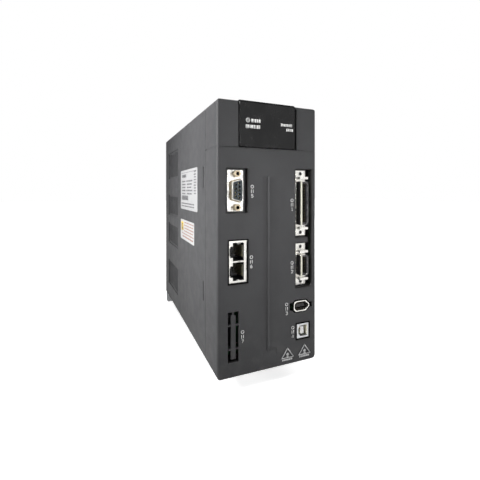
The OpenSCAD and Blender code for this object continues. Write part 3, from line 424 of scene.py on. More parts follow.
class Shape:
    """A mesh piece drawn in millimetres of x, d and t."""

    def __init__(self):
        self.bm = bmesh.new()

    def point(self, axis, along, pair):
        """A vertex at along on the named axis, with the other two coordinates in x, d, t order."""
        values = list(pair)
        values.insert(AXES[axis], along)
        return self.bm.verts.new(at(*values))

    def skin(self, rings, closed_ends=True):
        """Faces between successive rings of vertices."""
        count = len(rings[0])
        for low, high in zip(rings, rings[1:]):
            for i in range(count):
                j = (i + 1) % count
                self.bm.faces.new((low[i], low[j], high[j], high[i]))
        if closed_ends:
            self.bm.faces.new(rings[0])
            self.bm.faces.new(rings[-1])

    def extrude(self, axis, outline, low, high):
        self.skin([[self.point(axis, along, pair) for pair in outline] for along in (low, high)])

    def box(self, x, d, t):
        self.extrude("d", corners(x, t), d[0], d[1])

    def plate(self, x, d, t, radius, steps=4):
        """A block that faces front, with round corners."""
        self.extrude("d", rounded(x, t, radius, steps), d[0], d[1])

    def rod(self, axis, centre, low, high, radius, sides=24):
        self.extrude(axis, ring_points(radius, sides, centre=centre), low, high)

    def frame(self, axis, outer, inner, low, high):
        """A tube between two outlines with the same number of points."""
        rings = [(outer, low), (outer, high), (inner, high), (inner, low), (outer, low)]
        made = [[self.point(axis, along, pair) for pair in outline] for outline, along in rings[:4]]
        self.skin(made + [made[0]], closed_ends=False)

    def sleeve(self, axis, centre, low, high, outer, inner, sides=24):
        rings = [ring_points(r, sides, centre=centre) for r in (outer, inner)]
        self.frame(axis, rings[0], rings[1], low, high)

    def lathe(self, axis, centre, profile, sides=32):
        """Turns a profile of (radius, place along the axis) round the axis; it starts and ends closed."""
        rings = []
        for radius, along in profile:
            rings.append([self.point(axis, along, p) for p in ring_points(radius, sides, centre=centre)])
        self.skin(rings)

    def wire(self, points, radius, sides=8):
        """A round wire through points of (x, d, t)."""
        path = [at(*p) for p in points]
        rings = []
        side = None
        for i, place in enumerate(path):
            ahead = (path[min(i + 1, len(path) - 1)] - path[max(i - 1, 0)]).normalized()
            if side is None:
                side = ahead.orthogonal().normalized()
            side = (side - ahead * side.dot(ahead)).normalized()
            across = ahead.cross(side)
            ring = []
            for u, v in ring_points(radius * MM, sides):
                ring.append(self.bm.verts.new(place + side * u + across * v))
            rings.append(ring)
        self.skin(rings)

    def make(self, name, slot, shader=None, body="case", edge=0, segments=2):
        """Turns the drawing into a piece that rides on body, finished with shader, or with slot's shader when
        none is given.
        """
        bmesh.ops.recalc_face_normals(self.bm, faces=self.bm.faces)
        mesh = bpy.data.meshes.new(name)
        self.bm.to_mesh(mesh)
        self.bm.free()
        mesh.shade_smooth()
        mesh.materials.append((shader or SHADERS[slot]).material)
        piece = add_object(name, mesh)
        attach(piece, body)
        if edge:
            soften(piece, edge, segments)
        return piece


# ---------- Printing ----------

PRINT_LIFT = 0.02
PRINT_SINK = 0.02
INK_RISE = 0.014


class Print(Shape):
    """Ink on a flat face: marks have a place across (u) and a place down (t) the face."""

    def __init__(self, axis, level):
        super().__init__()
        self.axis = axis
        self.low, self.high = level - PRINT_LIFT, level + PRINT_SINK

    def mark(self, outline):
        """One mark, drawn in x and t on the front, d and t on the side, x and d on the top or bottom."""
        self.extrude(self.axis, outline, self.low, self.high)

    def bar(self, u, t, radius=0.15):
        radius = min(radius, (u[1] - u[0]) * 0.45, (t[1] - t[0]) * 0.45)
        self.mark(rounded(u, t, radius, 2))

    def ring(self, u, t, radius, line, sides=28):
        outer, inner = (ring_points(r, sides, centre=(u, t)) for r in (radius, radius - line))
        self.frame(self.axis, outer, inner, self.low, self.high)

    def row(self, u, t, widths, gap):
        """Short blocks from u[0] to at most u[1], widths taken in turn."""
        place, i = u[0], 0
        while place + widths[i % len(widths)] <= u[1] + 0.01:
            self.bar((place, place + widths[i % len(widths)]), t, 0.12)
            place += widths[i % len(widths)] + gap
            i += 1

    def digit(self, number, corner, size, line, down=1):
        """A number's strokes from its top left corner; down is the way down along the second axis."""
        for stroke in DIGITS[number]:
            points = []
            for a, b in stroke:
                across, fall = a * (size[0] - line), b * (size[1] - line)
                points.append((corner[0] + line / 2 + across, corner[1] + down * (line / 2 + fall)))
            self.ribbon(points, line)

    def ribbon(self, points, line):
        """A stroke of constant width through points of (u, t), with mitred joints."""
        ways = []
        for (u1, t1), (u2, t2) in zip(points, points[1:]):
            length = math.hypot(u2 - u1, t2 - t1)
            ways.append(((u2 - u1) / length, (t2 - t1) / length))
        edges = []
        for i, (u, t) in enumerate(points):
            before, after = ways[max(i - 1, 0)], ways[min(i, len(ways) - 1)]
            across = (-(before[1] + after[1]), before[0] + after[0])
            spread = math.hypot(*across)
            reach = line / 2 * min(2 / spread, 1.4) / spread
            a, b = across[0] * reach, across[1] * reach
            edges.append(((u + a, t + b), (u - a, t - b)))
        for (left, right), (next_left, next_right) in zip(edges, edges[1:]):
            self.mark([left, next_left, next_right, right])

    def path(self, points, line):
        """A stroke of constant width through points of (u, t), with square joints."""
        for (u1, t1), (u2, t2) in zip(points, points[1:]):
            half = line / 2 / math.hypot(u2 - u1, t2 - t1)
            a, b = (u2 - u1) * half, (t2 - t1) * half
            start, end = (u1 - a, t1 - b), (u2 + a, t2 + b)
            self.mark([
                (start[0] - b, start[1] + a), (end[0] - b, end[1] + a),
                (end[0] + b, end[1] - a), (start[0] + b, start[1] - a),
            ])

    def outline(self, u, t, line):
        """The four sides of a rectangle."""
        points = corners(u, t)
        self.path(points + points[:1], line)


# Strokes of each port number in a box 1 wide and 1 high, from its top left corner.
DIGITS = {
    1: [[(0.25, 0.2), (0.55, 0), (0.55, 1)], [(0.25, 1), (0.85, 1)]],
    2: [[(0.05, 0.2), (0.3, 0), (0.75, 0), (0.95, 0.25), (0.9, 0.45), (0.05, 1), (1, 1)]],
    3: [[(0.05, 0.1), (0.35, 0), (0.75, 0), (0.95, 0.22), (0.75, 0.48), (0.4, 0.48)],
        [(0.75, 0.48), (1, 0.75), (0.75, 1), (0.3, 1), (0.05, 0.9)]],
    4: [[(0.75, 1), (0.75, 0), (0.05, 0.7), (1, 0.7)]],
    5: [[(0.9, 0), (0.15, 0), (0.1, 0.45), (0.65, 0.4), (0.95, 0.68), (0.7, 1), (0.25, 1), (0.03, 0.85)]],
    6: [[(0.8, 0), (0.3, 0.2), (0.05, 0.6), (0.2, 0.95), (0.7, 1), (0.95, 0.75), (0.75, 0.48), (0.1, 0.52)]],
    7: [[(0.05, 0), (0.95, 0), (0.4, 1)]],
}


def port_marks():
    """Beside each socket: a ring, a double bar and the socket's number, one above the other."""
    ink_height, pitch, width, line = 2.7, 3.45, 2.3, 0.5
    ports = [
        (1, 62.9, 77.9), (2, 62.9, 127.3), (3, 57.9, 159.5), (4, 63.6, 178.6),
        (5, 27.9, 67.2), (6, 27.1, 119.9), (7, 19.9, 174.6),
    ]
    p = Print("d", 0)
    for number, u, middle in ports:
        p.ring(u, middle - pitch, ink_height / 2, line)
        for side in (-1, 1):
            p.bar(around(u + side * 0.75, line / 2), around(middle, ink_height / 2))
        p.digit(number, (u - width / 2, middle + pitch - ink_height / 2), (width, ink_height), line)
    p.make("port_marks", "case_plastic", INK_WHITE)


def triangle_marks():
    """Two plain triangles with a dot and a short bar inside, and a row of dashes under each."""
    p = Print("d", 0)
    line = 0.75
    for left, right in ((53.4, 64.2), (69.3, 80.1)):
        middle, top, base = (left + right) / 2, 190.5, 197.9
        p.path([(middle, top), (right, base), (left, base), (middle, top)], line)
        p.ring(middle, base - 2.6, 1.2, 1.15, 18)
        p.bar(around(middle, 1.1), (base - 1.2, base - 0.5))
        p.row((left + 0.4, right - 0.4), (198.7, 200.1), [0.9, 0.5, 1.1, 0.7], 0.25)
    p.make("triangle_marks", "case_plastic", INK_PALE)


def door_marks():
    """A white ring and rows of white blocks at the left of the door, and two rows at its right."""
    front = span("display_door")[1][0] + PRINT_LIFT - INK_RISE
    p = Print("d", front)
    p.ring(24.2, 14.3, 1.75, 0.7)
    p.ring(24.2, 14.3, 0.6, 0.55, 12)
    p.row((27, 36), (13.1, 15.7), [1.3, 0.6, 1.3, 1.0, 1.5], 0.5)
    p.row((22.4, 36), (17.6, 20.3), [0.7, 1.4, 0.8, 1.5, 1.1], 0.5)
    p.row((52.5, 64), (14.7, 16.8), [1.0, 0.6, 1.2, 0.8], 0.42)
    p.row((57.5, 64), (18.3, 20.4), [0.8, 1.1, 0.6], 0.42)
    p.make("door_marks", "door_plastic", INK_WHITE, body="door")


LABEL_FACE = 0.05


def stuck_label(name, slot, shader):
    """The film of a label, a hair below the side face, with round corners."""
    x, d, t = span(name)
    film = Shape()
    film.extrude("x", rounded(d, t, 1.5, 5), LABEL_FACE, x[1])
    film = film.make(name + "_film", slot, shader, edge=0.03, segments=1)
    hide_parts(name)
    return d, t


def nameplate():
    """Silvery film with dashes in rows, as on any rating plate; the rear end is the left of its text."""
    d, t = stuck_label("nameplate", "label_film", SILVER_FILM)
    p = Print("x", LABEL_FACE)
    left, right = d[1] - 3, d[0] + 3
    p.bar((right, left), (t[0] + 2.3, t[0] + 2.7), 0.1)
    p.row((left - 20, left), (t[0] + 4.2, t[0] + 7.4), [2.6, 1.5, 3.2, 2.0], 0.8)
    for i, start in enumerate((10.5, 13.6, 16.7, 19.8, 22.9)):
        rows = (t[0] + start, t[0] + start + 1.5)
        p.row((left - 17, left), rows, [2.6, 4.4, 1.8], 0.9)
        p.row((right + 14 + 2 * (i % 3), left - 21), rows, [1.3, 3.1, 2.2], 0.7)
    for i in range(9):
        rows = (t[0] + 2.6 + 2.5 * i, t[0] + 3.9 + 2.5 * i)
        p.row((right + 1.5, right + 9), rows, [1.6, 0.7, 2.3, 1.1] if i % 2 else [0.9, 2.1, 1.3], 0.6)
    p.row((left - 28, left - 2), (t[0] + 25.6, t[0] + 30.2), [1.1, 0.6, 1.5, 0.8, 0.5, 1.2], 0.22)
    for start in (33, 35.6):
        p.row((right + 8, left), (t[0] + start, t[0] + start + 1.3), [3.4, 1.6, 2.4, 4.2], 0.9)
    p.make("nameplate_print", "label_film", INK_GREY)


def rating_label():
    """White film with brown dashes in rows and a plain yellow patch towards the rear."""
    d, t = stuck_label("rating_label", "label_film", None)
    p = Print("x", LABEL_FACE)
    left, right = d[1] - 2.5, d[0] + 2.5
    for i in range(6):
        start = t[0] + 2 + 2.9 * i
        end = left - (12 if i < 4 else 2)
        p.row((right + 2 * (i % 2), end), (start, start + (1.0 if i < 5 else 1.4)), [3.2, 2.1, 4.0, 1.4], 0.8)
    p.make("rating_print", "label_film", INK_BROWN)
    patch = Print("x", LABEL_FACE)
    patch.bar((left - 9.5, left - 0.5), (t[0] + 2.5, t[0] + 11.5), 1.0)
    patch.make("rating_patch", "label_film", INK_YELLOW)
    dot = Print("x", LABEL_FACE - PRINT_LIFT)
    dot.ring(left - 5, t[0] + 7, 3.0, 0.9)
    dot.make("rating_patch_ring", "label_film", INK_GREY)


# ---------- Sockets ----------


JACK_T = (111.9, 126.4)
# The bend of a jack's wire, in x and d.
JACK_BEND = ((20.9, 3.1), (20.75, 3.6), (20.3, 4.4), (18.4, 9.0), (17.6, 10.4), (17.5, 13.6))
DSUB_X, DSUB_T = 16.1, 66.7
SIX_PIN_X, SIX_PIN_T = 72.1, 159.1
USB_X, USB_T = 73.2, 179.05


def network_jacks():
    """Eight gold wires that slope back in each jack, the comb that holds them, and shield springs."""
    wires, comb, springs = Shape(), Shape(), Shape()
    for centre in JACK_T:
        for i in range(8):
            t = centre + (i - 3.5) * 1.02
            wires.wire([(x, d, t) for x, d in JACK_BEND], 0.2)
            comb.box((20.55, 21.35), (3.0, 6.6), around(centre + (i - 3.5) * 1.1, 0.2))
        comb.plate((21.0, 21.38), (2.9, 6.8), around(centre, 4.4), 0.15)
    for t, bow in ((105.75, 1), (119.15, 1), (132.6, -1), (119.15, -1)):
        leaf = [(15.2 + 3.4 * i / 8, t + bow * (0.45 * math.sin(math.pi * i / 8) - 0.1)) for i in range(9)]
        springs.extrude("d", leaf, 0.15, 1.6)
    wires.make("jack_contacts", "bright_steel", DULL_GOLD)
    comb.make("jack_combs", "black_resin", OLIVE, edge=0.04, segments=1)
    springs.make("jack_springs", "bright_steel")


def dsub_outline(grow):
    """The nine-pin socket's D shape: its longer side is on the right."""
    half_width, half_height, slope, radius = 4.3 + grow, 8.2 + grow, 1.55, 1.2 + max(grow, 0)
    centres = [
        (half_width - radius, half_height - radius, -0.18, 1.75),
        (radius - half_width, half_height - slope - radius, 1.75, math.pi),
        (radius - half_width, slope + radius - half_height, math.pi, 2 * math.pi - 1.75),
        (half_width - radius, radius - half_height, 2 * math.pi - 1.75, 2 * math.pi + 0.18),
    ]
    points = []
    for u, v, start, end in centres:
        points += ring_points(radius, 6, start, end - start, (DSUB_X + u, DSUB_T + v))
    return points


def serial_socket():
    """Gold sleeves in the nine holes, a collar round the shell in a darker steel that paints shade, and black
    linings in the jackscrews' bores that paint their shade.
    """
    pitch = 2.74
    sleeves = Shape()
    for count, x in ((5, DSUB_X + 1.42), (4, DSUB_X - 1.42)):
        for i in range(count):
            t = DSUB_T + (i - (count - 1) / 2) * pitch
            sleeves.sleeve("d", (x, t), 3.0, 4.9, 0.82, 0.4, 20)
    sleeves.make("dsub_sleeves", "bright_steel", DULL_GOLD)
    # The collar's darker steel is painted shade round the shell.
    collar = Shape()
    collar.frame("d", dsub_outline(0.75), dsub_outline(-0.1), 3.7, 4.3)
    collar.make("dsub_collar", "bright_steel", SHADED_COLLAR_STEEL, edge=0.1)
    # Black linings and floors in the jackscrews' bores: painted shade.
    bore_shades = Shape()
    for side in (-1, 1):
        t = DSUB_T + side * 12.5
        bore_shades.sleeve("d", (DSUB_X, t), -0.35, 3.3, 1.24, 1.12, 20)
        bore_shades.rod("d", (DSUB_X, t), 2.6, 3.4, 1.2, 20)
    bore_shades.make("jackscrew_bore_shades", "fastener_steel", SHADE_BLACK)


def ribbon_socket(name, low, high, ways):
    """A ribbon-contact socket: gold contacts on both long walls, a folded lip, a skirt and a rim."""
    x = (70.7, 77.9)
    contacts = Shape()
    pitch = 1.27
    middle = (low + high) / 2
    for i in range(ways // 2):
        t = middle + (i - (ways // 2 - 1) / 2) * pitch
        for wall, lean in ((71.8, 1), (76.8, -1)):
            bend = ((0.1, 4.9), (0.14, 3.6), (0.34, 2.7), (0.12, 2.1))
            contacts.wire([(wall + lean * out, d, t) for out, d in bend], 0.17, 6)
    contacts.make(name + "_contacts", "bright_steel", DULL_GOLD)
    lip = Shape()
    lip.plate((x[0] - 0.05, x[0] + 1.35), (-0.76, -0.55), (low + 0.4, high - 0.4), 0.3)
    lip.make(name + "_lip", "bright_steel", CREAM_STEEL, edge=0.08)
    skirt = Shape()
    skirt.plate((x[0] - 0.5, x[0] - 0.02), (-0.35, 4.35), (low + 0.6, high - 0.6), 0.2)
    for i in range(int((high - low) / 3)):
        skirt.box((x[0] - 0.62, x[0] - 0.5), (1.0, 4.3), around(low + 2 + i * 3, 0.25))
    skirt.make(name + "_skirt", "grey_resin", SOCKET_DARK, edge=0.06)
    rim = Shape()
    outline = []
    for radius in (2.64, 2.05):
        turns = ((low + 2.6, -math.pi / 2), (high - 2.6, 0))
        arcs = [ring_points(radius, 7, start, math.pi / 2, (x[1] - 2.6, t)) for t, start in turns]
        outline.append(arcs[0] + arcs[1])
    rim.extrude("d", outline[0] + outline[1][::-1], -0.77, -0.3)
    rim.box((76.74, 76.84), (0.3, 4.9), (low + 2.2, high - 2.2))
    rim.make(name + "_rim", "grey_resin", COMB_GREY, edge=0.03, segments=1)


def socket_outlines():
    """Dark sheets on the recess walls and flat black round sockets and door, all painted shade; and linings
    in the USB socket.
    """
    # A dark sheet just inside the walls of the serial and ribbon recesses: painted shade.
    shade_lining = Shape()
    left = [corners((6.8, 24.9), (50, 83.3), -g) for g in (0.02, 0.16)]
    right = []
    for g in (0.02, 0.16):
        corner = ring_points(2.5 - g, 7, 0, math.pi / 2, (82.2 - 2.5, 144.5 - 2.5))
        rib = [(77.9 + g, 108.3 + g), (77.9 + g, 104.4 - g)]
        right.append(
            [(66 + g, 49.3 + g), (82.2 - g, 49.3 + g)] + corner
            + [(66 + g, 144.5 - g), (66 + g, 108.3 + g)] + rib + [(66 + g, 104.4 - g)]
        )
    shade_lining.frame("d", left[0], left[1], 0.25, 4.95)
    shade_lining.frame("d", right[0], right[1], 0.25, 4.95)
    shade_lining.make("recess_shade_linings", "grey_resin", SOCKET_DARK)
    # Black frames round the jack and USB openings, a strip right of the door and fillers in the door's gaps:
    # painted shade of the gaps.
    gap_shades = Shape()
    for x, t in (((9.2, 23.8), (103.6, 134.7)), ((67.5, 78.9), (173.3, 184.8))):
        gap_shades.frame("d", corners(x, t, 0.95), corners(x, t, 0.05), -INK_RISE, 0.3)
    door = span("display_door")
    gap_shades.plate((door[0][1] + 0.72, door[0][1] + 1.5), (-INK_RISE, 0.2), (1.6, door[2][1] + 0.6), 0.3, 2)
    for edge, side in ((door[0][0], -1), (door[0][1], 1)):
        gap_shades.box(sorted((edge + side * 0.25, edge + side * 0.69)), (0.4, 5.5), (0.35, 3.4))
    gap_shades.make("painted_gap_shades", "grey_resin", SHADE_BLACK)
    wall = Shape()
    wall.plate((77.28, 77.38), (0.1, 9.2), (175.1, 183.0), 0.04, 1)
    wall.plate((69.05, 69.15), (0.1, 9.2), (176.6, 181.5), 0.04, 1)
    wall.make("usb_lining", "usb_shell_metal", CREAM_STEEL)


def small_socket_contacts():
    """Gold strips on the blade of the six-pin socket and on the tongue of the USB socket."""
    strips = Shape()
    for t in around(SIX_PIN_T, 1.2):
        for i in (-1, 0, 1):
            strips.box(around(SIX_PIN_X + i * 2, 0.45), (2.4, 9.6), around(t, 0.06))
    for x in around(USB_X, 1.6):
        for t in around(USB_T, 1.25):
            strips.box(around(x, 0.06), (1.6, 9.0), around(t, 0.5))
    strips.make("small_socket_contacts", "bright_steel", GOLD, edge=0.03, segments=1)


def seam_tongues():
    """The tongue of the lower moulding that shows in the seam under the top moulding."""
    low, high = span("top_bezel")[2][1], span("front_cover")[2][0]
    corner = ring_points(1.75, 6, math.pi, math.pi / 2, (2, 2))
    outline = [(0.25, 26.5)] + corner + [(16.6, 0.25), (16.6, 1.3), (2.2, 1.3), (1.3, 2.2), (1.3, 26.5)]
    tongues = Shape()
    tongues.extrude("t", outline, low - 0.01, high + 0.01)
    tongues.extrude("t", [(WIDTH - x, d) for x, d in outline], low - 0.01, high + 0.01)
    tongues.make("seam_tongues", "case_plastic")


# ---------- Keypad ----------

# The bars of a seven-segment digit: top, upper left, upper right, middle, lower left, lower right, bottom.
SEGMENTS = {0: (1, 1, 1, 0, 1, 1, 1), 1: (0, 0, 1, 0, 0, 1, 0), 5: (1, 1, 0, 1, 0, 1, 1)}


def display_digits():
    """Five seven-segment digits, some of them lit, and a thin line round the window."""
    x, d, t = span("display_module")
    lit, unlit = Print("d", d[0]), Print("d", d[0])
    middle, half, height, line = (t[0] + t[1]) / 2, 1.5, 2.9, 0.5
    for i, number in enumerate((0, 1, 5, 0, 0)):
        u = x[0] + (x[1] - x[0]) * (i + 0.5) / 5
        flat = (u - half + 0.3, u + half - 0.3)
        bars = [(flat, around(middle + row * height, line / 2)) for row in (-1, 0, 1)]
        uprights = []
        for row in (-1, 1):
            ends = sorted((middle + row * 0.35, middle + row * (height - 0.35)))
            uprights += [(around(u + side * half, line / 2), ends) for side in (-1, 1)]
        order = [bars[0], *uprights[:2], bars[1], *uprights[2:], bars[2]]
        for on, (across, down) in zip(SEGMENTS[number], order):
            (lit if on else unlit).bar(across, down, 0.2)
        unlit.ring(u + half + 0.75, middle + height, 0.28, 0.2, 12)
    lit.make("display_lit", "display_red", LIT_RED)
    unlit.make("display_unlit", "display_red", UNLIT_RED)
    panel = Print("d", span("keypad_panel")[1][0])
    panel.outline((x[0] - 1, x[1] + 1), (t[0] - 0.8, t[1] + 0.8), 0.3)
    panel.make("window_line", "panel_plastic", INK_PALE)


# How far each key's arrow is turned, in degrees; keys without one carry another sign.
KEY_TURNS = {"key_mode": None, "key_shift": 90, "key_up": 0, "key_down": 180, "key_set": None}


def key_marks():
    """A plain sign on each key: a square, an arrow left, up and down, and a ring."""
    arrow = [(0, -1), (0.9, 0.7), (-0.9, 0.7)]
    for node, turn in KEY_TURNS.items():
        x, d, t = span(node)
        u, v = (x[0] + x[1]) / 2, (t[0] + t[1]) / 2
        p = Print("d", d[0] - INK_RISE + PRINT_LIFT)
        if node == "key_mode":
            p.outline(around(u, 0.9), around(v, 0.9), 0.35)
        elif node == "key_set":
            p.ring(u, v, 1.1, 0.4)
            p.ring(u, v, 0.45, 0.4, 14)
        else:
            c, s = math.cos(math.radians(turn)), math.sin(math.radians(turn))
            p.mark([(u + a * c + b * s, v - a * s + b * c) for a, b in arrow])
        p.make(node + "_mark", "key_plastic", INK_GREY, body=node)


# ---------- Terminals ----------

# Where each plug's first pole begins in x, the number of poles, and whether it is in the bottom face.
PLUGS = {"power": (16, 5, False), "motor": (17, 3, True), "regen": (47, 3, True)}
POLE_PITCH = 7.62
TERMINAL_D = 84


def pole_x(start, i):
    return start + (i + 0.5) * POLE_PITCH


def terminal_parts():
    """Slotted clamp screws down in their wells, and a cage in each wire opening."""
    screw_d, wire_d = TERMINAL_D + 12.8, TERMINAL_D + 5.7
    head_radius, half_slot = 1.78, 0.28
    cut = math.asin(half_slot / head_radius)
    for name, (start, ways, below) in PLUGS.items():
        screws, cages = Shape(), Shape()
        down = (lambda t: HEIGHT - t) if below else (lambda t: t)
        for i in range(ways):
            x = pole_x(start, i)
            screws.rod("t", (x, screw_d), down(4.7), down(10.9), head_radius, 28)
            for begin in (cut, math.pi + cut):
                head = ring_points(head_radius, 14, begin, math.pi - 2 * cut, (x, screw_d))
                screws.extrude("t", head, down(3.9), down(4.75))
            outer, inner = (rounded(around(x, r), around(wire_d, r), 0.3, 2) for r in (1.66, 1.25))
            cages.frame("t", outer, inner, down(1.3), down(4.9))
            tongue = rounded(around(x, 1.2), (wire_d - 1.2, wire_d - 0.55), 0.2, 2)
            cages.extrude("t", tongue, down(2.2), down(4.9))
        screws.make(name + "_clamp_screws", "fastener_steel", edge=0.12)
        cages.make(name + "_cages", "bright_steel", edge=0.06, segments=1)


def terminal_marks():
    """A number at each pole on the case, and an earth sign beside the earth screws."""
    size, line = (1.9, 2.6), 0.42
    above = Print("t", 0)
    start, ways, _ = PLUGS["power"]
    for i in range(ways):
        above.digit(i + 1, (pole_x(start, i) - size[0] / 2, 81.5), size, line, -1)
    above.make("power_marks", "case_plastic", INK_WHITE)
    under = Print("t", HEIGHT)
    for first, name in ((1, "motor"), (4, "regen")):
        start, ways, _ = PLUGS[name]
        for i in range(ways):
            under.digit(first + i, (pole_x(start, i) - size[0] / 2, 78.5), size, line)
    under.bar((62.75, 63.25), (110.5, 114.5), 0.1)
    for half, d in ((2.6, 114.5), (1.7, 115.6), (0.8, 116.7)):
        under.bar((63 - half, 63 + half), (d, d + 0.45), 0.1)
    under.ring(63, 114, 4.3, 0.35, 40)
    under.make("motor_marks", "case_plastic", INK_WHITE)


# ---------- Fan ----------

FAN_X, FAN_D = 43, 162


def fan_sticker():
    """A round film with a ring and radial dashes on the fan's motor base."""
    face = span("fan_frame")[2][1]
    film = Shape()
    film.rod("t", (FAN_X, FAN_D), face - 0.1, face + 0.05, 10.6, 48)
    film.make("fan_sticker", "label_film", SILVER_FILM, edge=0.02, segments=1)
    p = Print("t", face + 0.05)
    p.ring(FAN_X, FAN_D, 10.0, 0.3, 48)
    for i in range(24):
        if i % 6:
            a = math.radians(i * 15)
            p.path([polar((FAN_X, FAN_D), r, a) for r in (8.0, 9.1)], 0.7)
    p.make("fan_sticker_print", "label_film", INK_GREY)


def fan_blades():
    """The rotor: a hub cup with a chamfered rim and seven curved, tapered blades."""
    rotor = Shape()
    rotor.lathe("t", (FAN_X, FAN_D), [
        (1.6, 187.8), (11.6, 187.8), (12.5, 188.7), (12.5, 199.2), (12.3, 199.4), (11.2, 199.4),
        (11.0, 199.2), (11.0, 189.9), (10.5, 189.4), (1.6, 189.4), (1.6, 199.0), (0.4, 199.0),
    ], 64)
    blades, stations, steps = 7, 8, 10
    root, tip = 12.2, 27.2
    for b in range(blades):
        rings = []
        for i in range(stations + 1):
            radius = root + (tip - root) * i / stations
            width = min(0.84, 12.9 / radius)
            lean = 0.22 * (i / stations) ** 2
            upper, lower = [], []
            for j in range(steps + 1):
                u = j / steps
                angle = 2 * math.pi * b / blades + lean + (u - 0.5) * width
                arch = 0.9 * math.sin(math.pi * u)
                t = 198.2 - 8.2 * u - arch
                thick = 0.18 + 0.5 * math.sin(math.pi * min(1, u * 1.25 + 0.05)) ** 0.6
                place = polar((FAN_X, FAN_D), radius, angle)
                upper.append(rotor.point("t", t - thick, place))
                lower.append(rotor.point("t", t + thick, place))
            rings.append(upper + lower[::-1])
        rotor.skin(rings)
    piece = rotor.make("fan_rotor_curved", "fan_plastic", body="fan")
    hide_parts("fan_rotor")


# ---------- Inside ----------


def capacitor_cans():
    """Four electrolytic cans in sleeves: a crimped neck, a scored top and a pale stripe."""
    cans, tops, stripes, scores = Shape(), Shape(), Shape(), Print("d", 60.75)
    for x in (28, 60):
        for t in (67, 99):
            cans.lathe("d", (x, t), [
                (12.0, 60.9), (12.3, 60.3), (13.2, 60.0), (14.0, 60.05), (14.6, 60.6), (14.8, 61.5),
                (14.8, 100.6), (14.3, 101.3), (14.1, 102.0), (14.3, 102.7), (14.8, 103.4),
                (14.8, 105.0), (14.5, 105.4),
            ], 56)
            tops.rod("d", (x, t), 60.75, 61.2, 12.1, 56)
            for turn in (45, 135):
                a = math.radians(turn)
                scores.path([polar((x, t), r, a) for r in (-8, 8)], 0.4)
            outer, inner = (ring_points(r, 12, math.pi * 0.9, 0.55, (x, t)) for r in (14.84, 14.6))
            stripes.extrude("d", outer + inner[::-1], 64, 100)
    piece = cans.make("capacitor_sleeves", "capacitor_sleeve", edge=0.15)
    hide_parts("bus_capacitors")
    tops.make("capacitor_tops", "capacitor_sleeve", CAN_TOP, edge=0.1)
    scores.make("capacitor_scores", "capacitor_sleeve", INK_GREY)
    stripes.make("capacitor_stripes", "capacitor_sleeve", INK_PALE)


def choke_windings():
    """A ferrite ring wound with two halves of enamelled wire."""
    middle = (67.5, 29.5)
    core, wires = Shape(), Shape()
    core.lathe("d", middle, [
        (5.8, 92.8), (6.2, 92.4), (8.4, 92.4), (8.8, 92.8), (8.8, 104.0), (8.4, 104.4),
        (6.2, 104.4), (5.8, 104.0), (5.8, 92.81),
    ], 48)
    section = [
        (9.35, 92.6), (9.35, 98.4), (9.35, 104.2), (8.6, 104.85), (6.2, 104.85),
        (5.3, 104.2), (5.3, 98.4), (5.3, 92.6), (6.2, 91.8), (8.6, 91.8),
    ]
    turns = 10
    for half in (0, 1):
        points = []
        for i in range(turns * len(section) + 1):
            radius, d = section[i % len(section)]
            angle = half * math.pi + 0.28 + (math.pi - 0.56) * i / (turns * len(section))
            x, t = polar(middle, radius, angle)
            points.append((x, d, t))
        wires.wire(points, 0.5)
    piece = core.make("choke_core", "ferrite", edge=0.2)
    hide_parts("emi_choke")
    wires.make("choke_wire", "ferrite", COPPER)


def transformer_windings():
    """Yellow tape over the winding, dark core halves on the bobbin, and solder pins."""
    tape, core, pins = Shape(), Shape(), Shape()
    for i in range(3):
        low = 58.2 + i * 4.7
        grow = 0.25 + 0.1 * (i % 2)
        tape.extrude("d", rounded((9 - grow, 24 + grow), (131 - grow, 149 + grow), 1.6, 5), low, low + 4.4)
    for t in ((128.2, 130.4), (149.6, 151.8)):
        core.box((10.5, 22.5), (58.05, 71.95), t)
    for i in range(5):
        for d in (53.4, 76.6):
            pins.rod("x", (d, 131 + i * 4.5), 5.6, 7.4, 0.4, 12)
    tape.make("transformer_tape", "module_resin", TAPE, edge=0.15)
    core.make("transformer_core", "ferrite", edge=0.3)
    pins.make("transformer_pins", "bright_steel", edge=0.05, segments=1)


# The bend of a current sensor's strap, in d and t.
STRAP_BEND = (
    (105.0, 137.2), (98.6, 137.2), (97.3, 138.2), (97, 139.6),
    (97, 160.4), (97.3, 161.8), (98.6, 162.8), (105.0, 162.8),
)


def power_details():
    """Relay and module prints, the modules' pins, and a copper strap through each current sensor."""
    marks, pins, straps = Print("d", 86), Shape(), Shape()
    marks.outline((24, 40), (29.5, 39.5), 0.3)
    marks.row((26, 38), (32.2, 33.4), [2.4, 1.2, 3.1], 0.7)
    marks.row((26, 38), (35.2, 36.4), [1.4, 2.6, 1.1], 0.7)
    marks.make("relay_marks", "relay_blue", INK_PALE)
    for side in (98.6, 143.4):
        for i in range(12):
            x = 23 + i * 3.6
            pins.rod("d", (x, side), 104.2, 108.4, 0.45, 12)
            pins.sleeve("d", (x, side), 105.15, 105.45, 0.95, 0.4, 16)
    for i in range(4):
        pins.rod("d", (34 + i * 6, 87.5), 104.2, 110.4, 0.5, 12)
    pins.make("module_pins", "bright_steel")
    for x in (34, 54):
        straps.wire([(x, d, t) for d, t in STRAP_BEND], 1.5, 12)
    straps.make("sensor_straps", "bright_steel", COPPER)


# Each chip's middle in x and t, its width and its height.
CHIPS = ((30, 92, 14, 14), (52, 92, 9, 12), (30, 128, 8, 16), (50, 126, 12, 12), (44, 160, 14, 9))
LEG_PITCH = 1.27
# The bend of a chip's leg, out from the chip and off the board.
LEG_BEND = ((-0.1, 1.0), (0.5, 1.0), (0.7, 0.15), (1.3, 0.1))


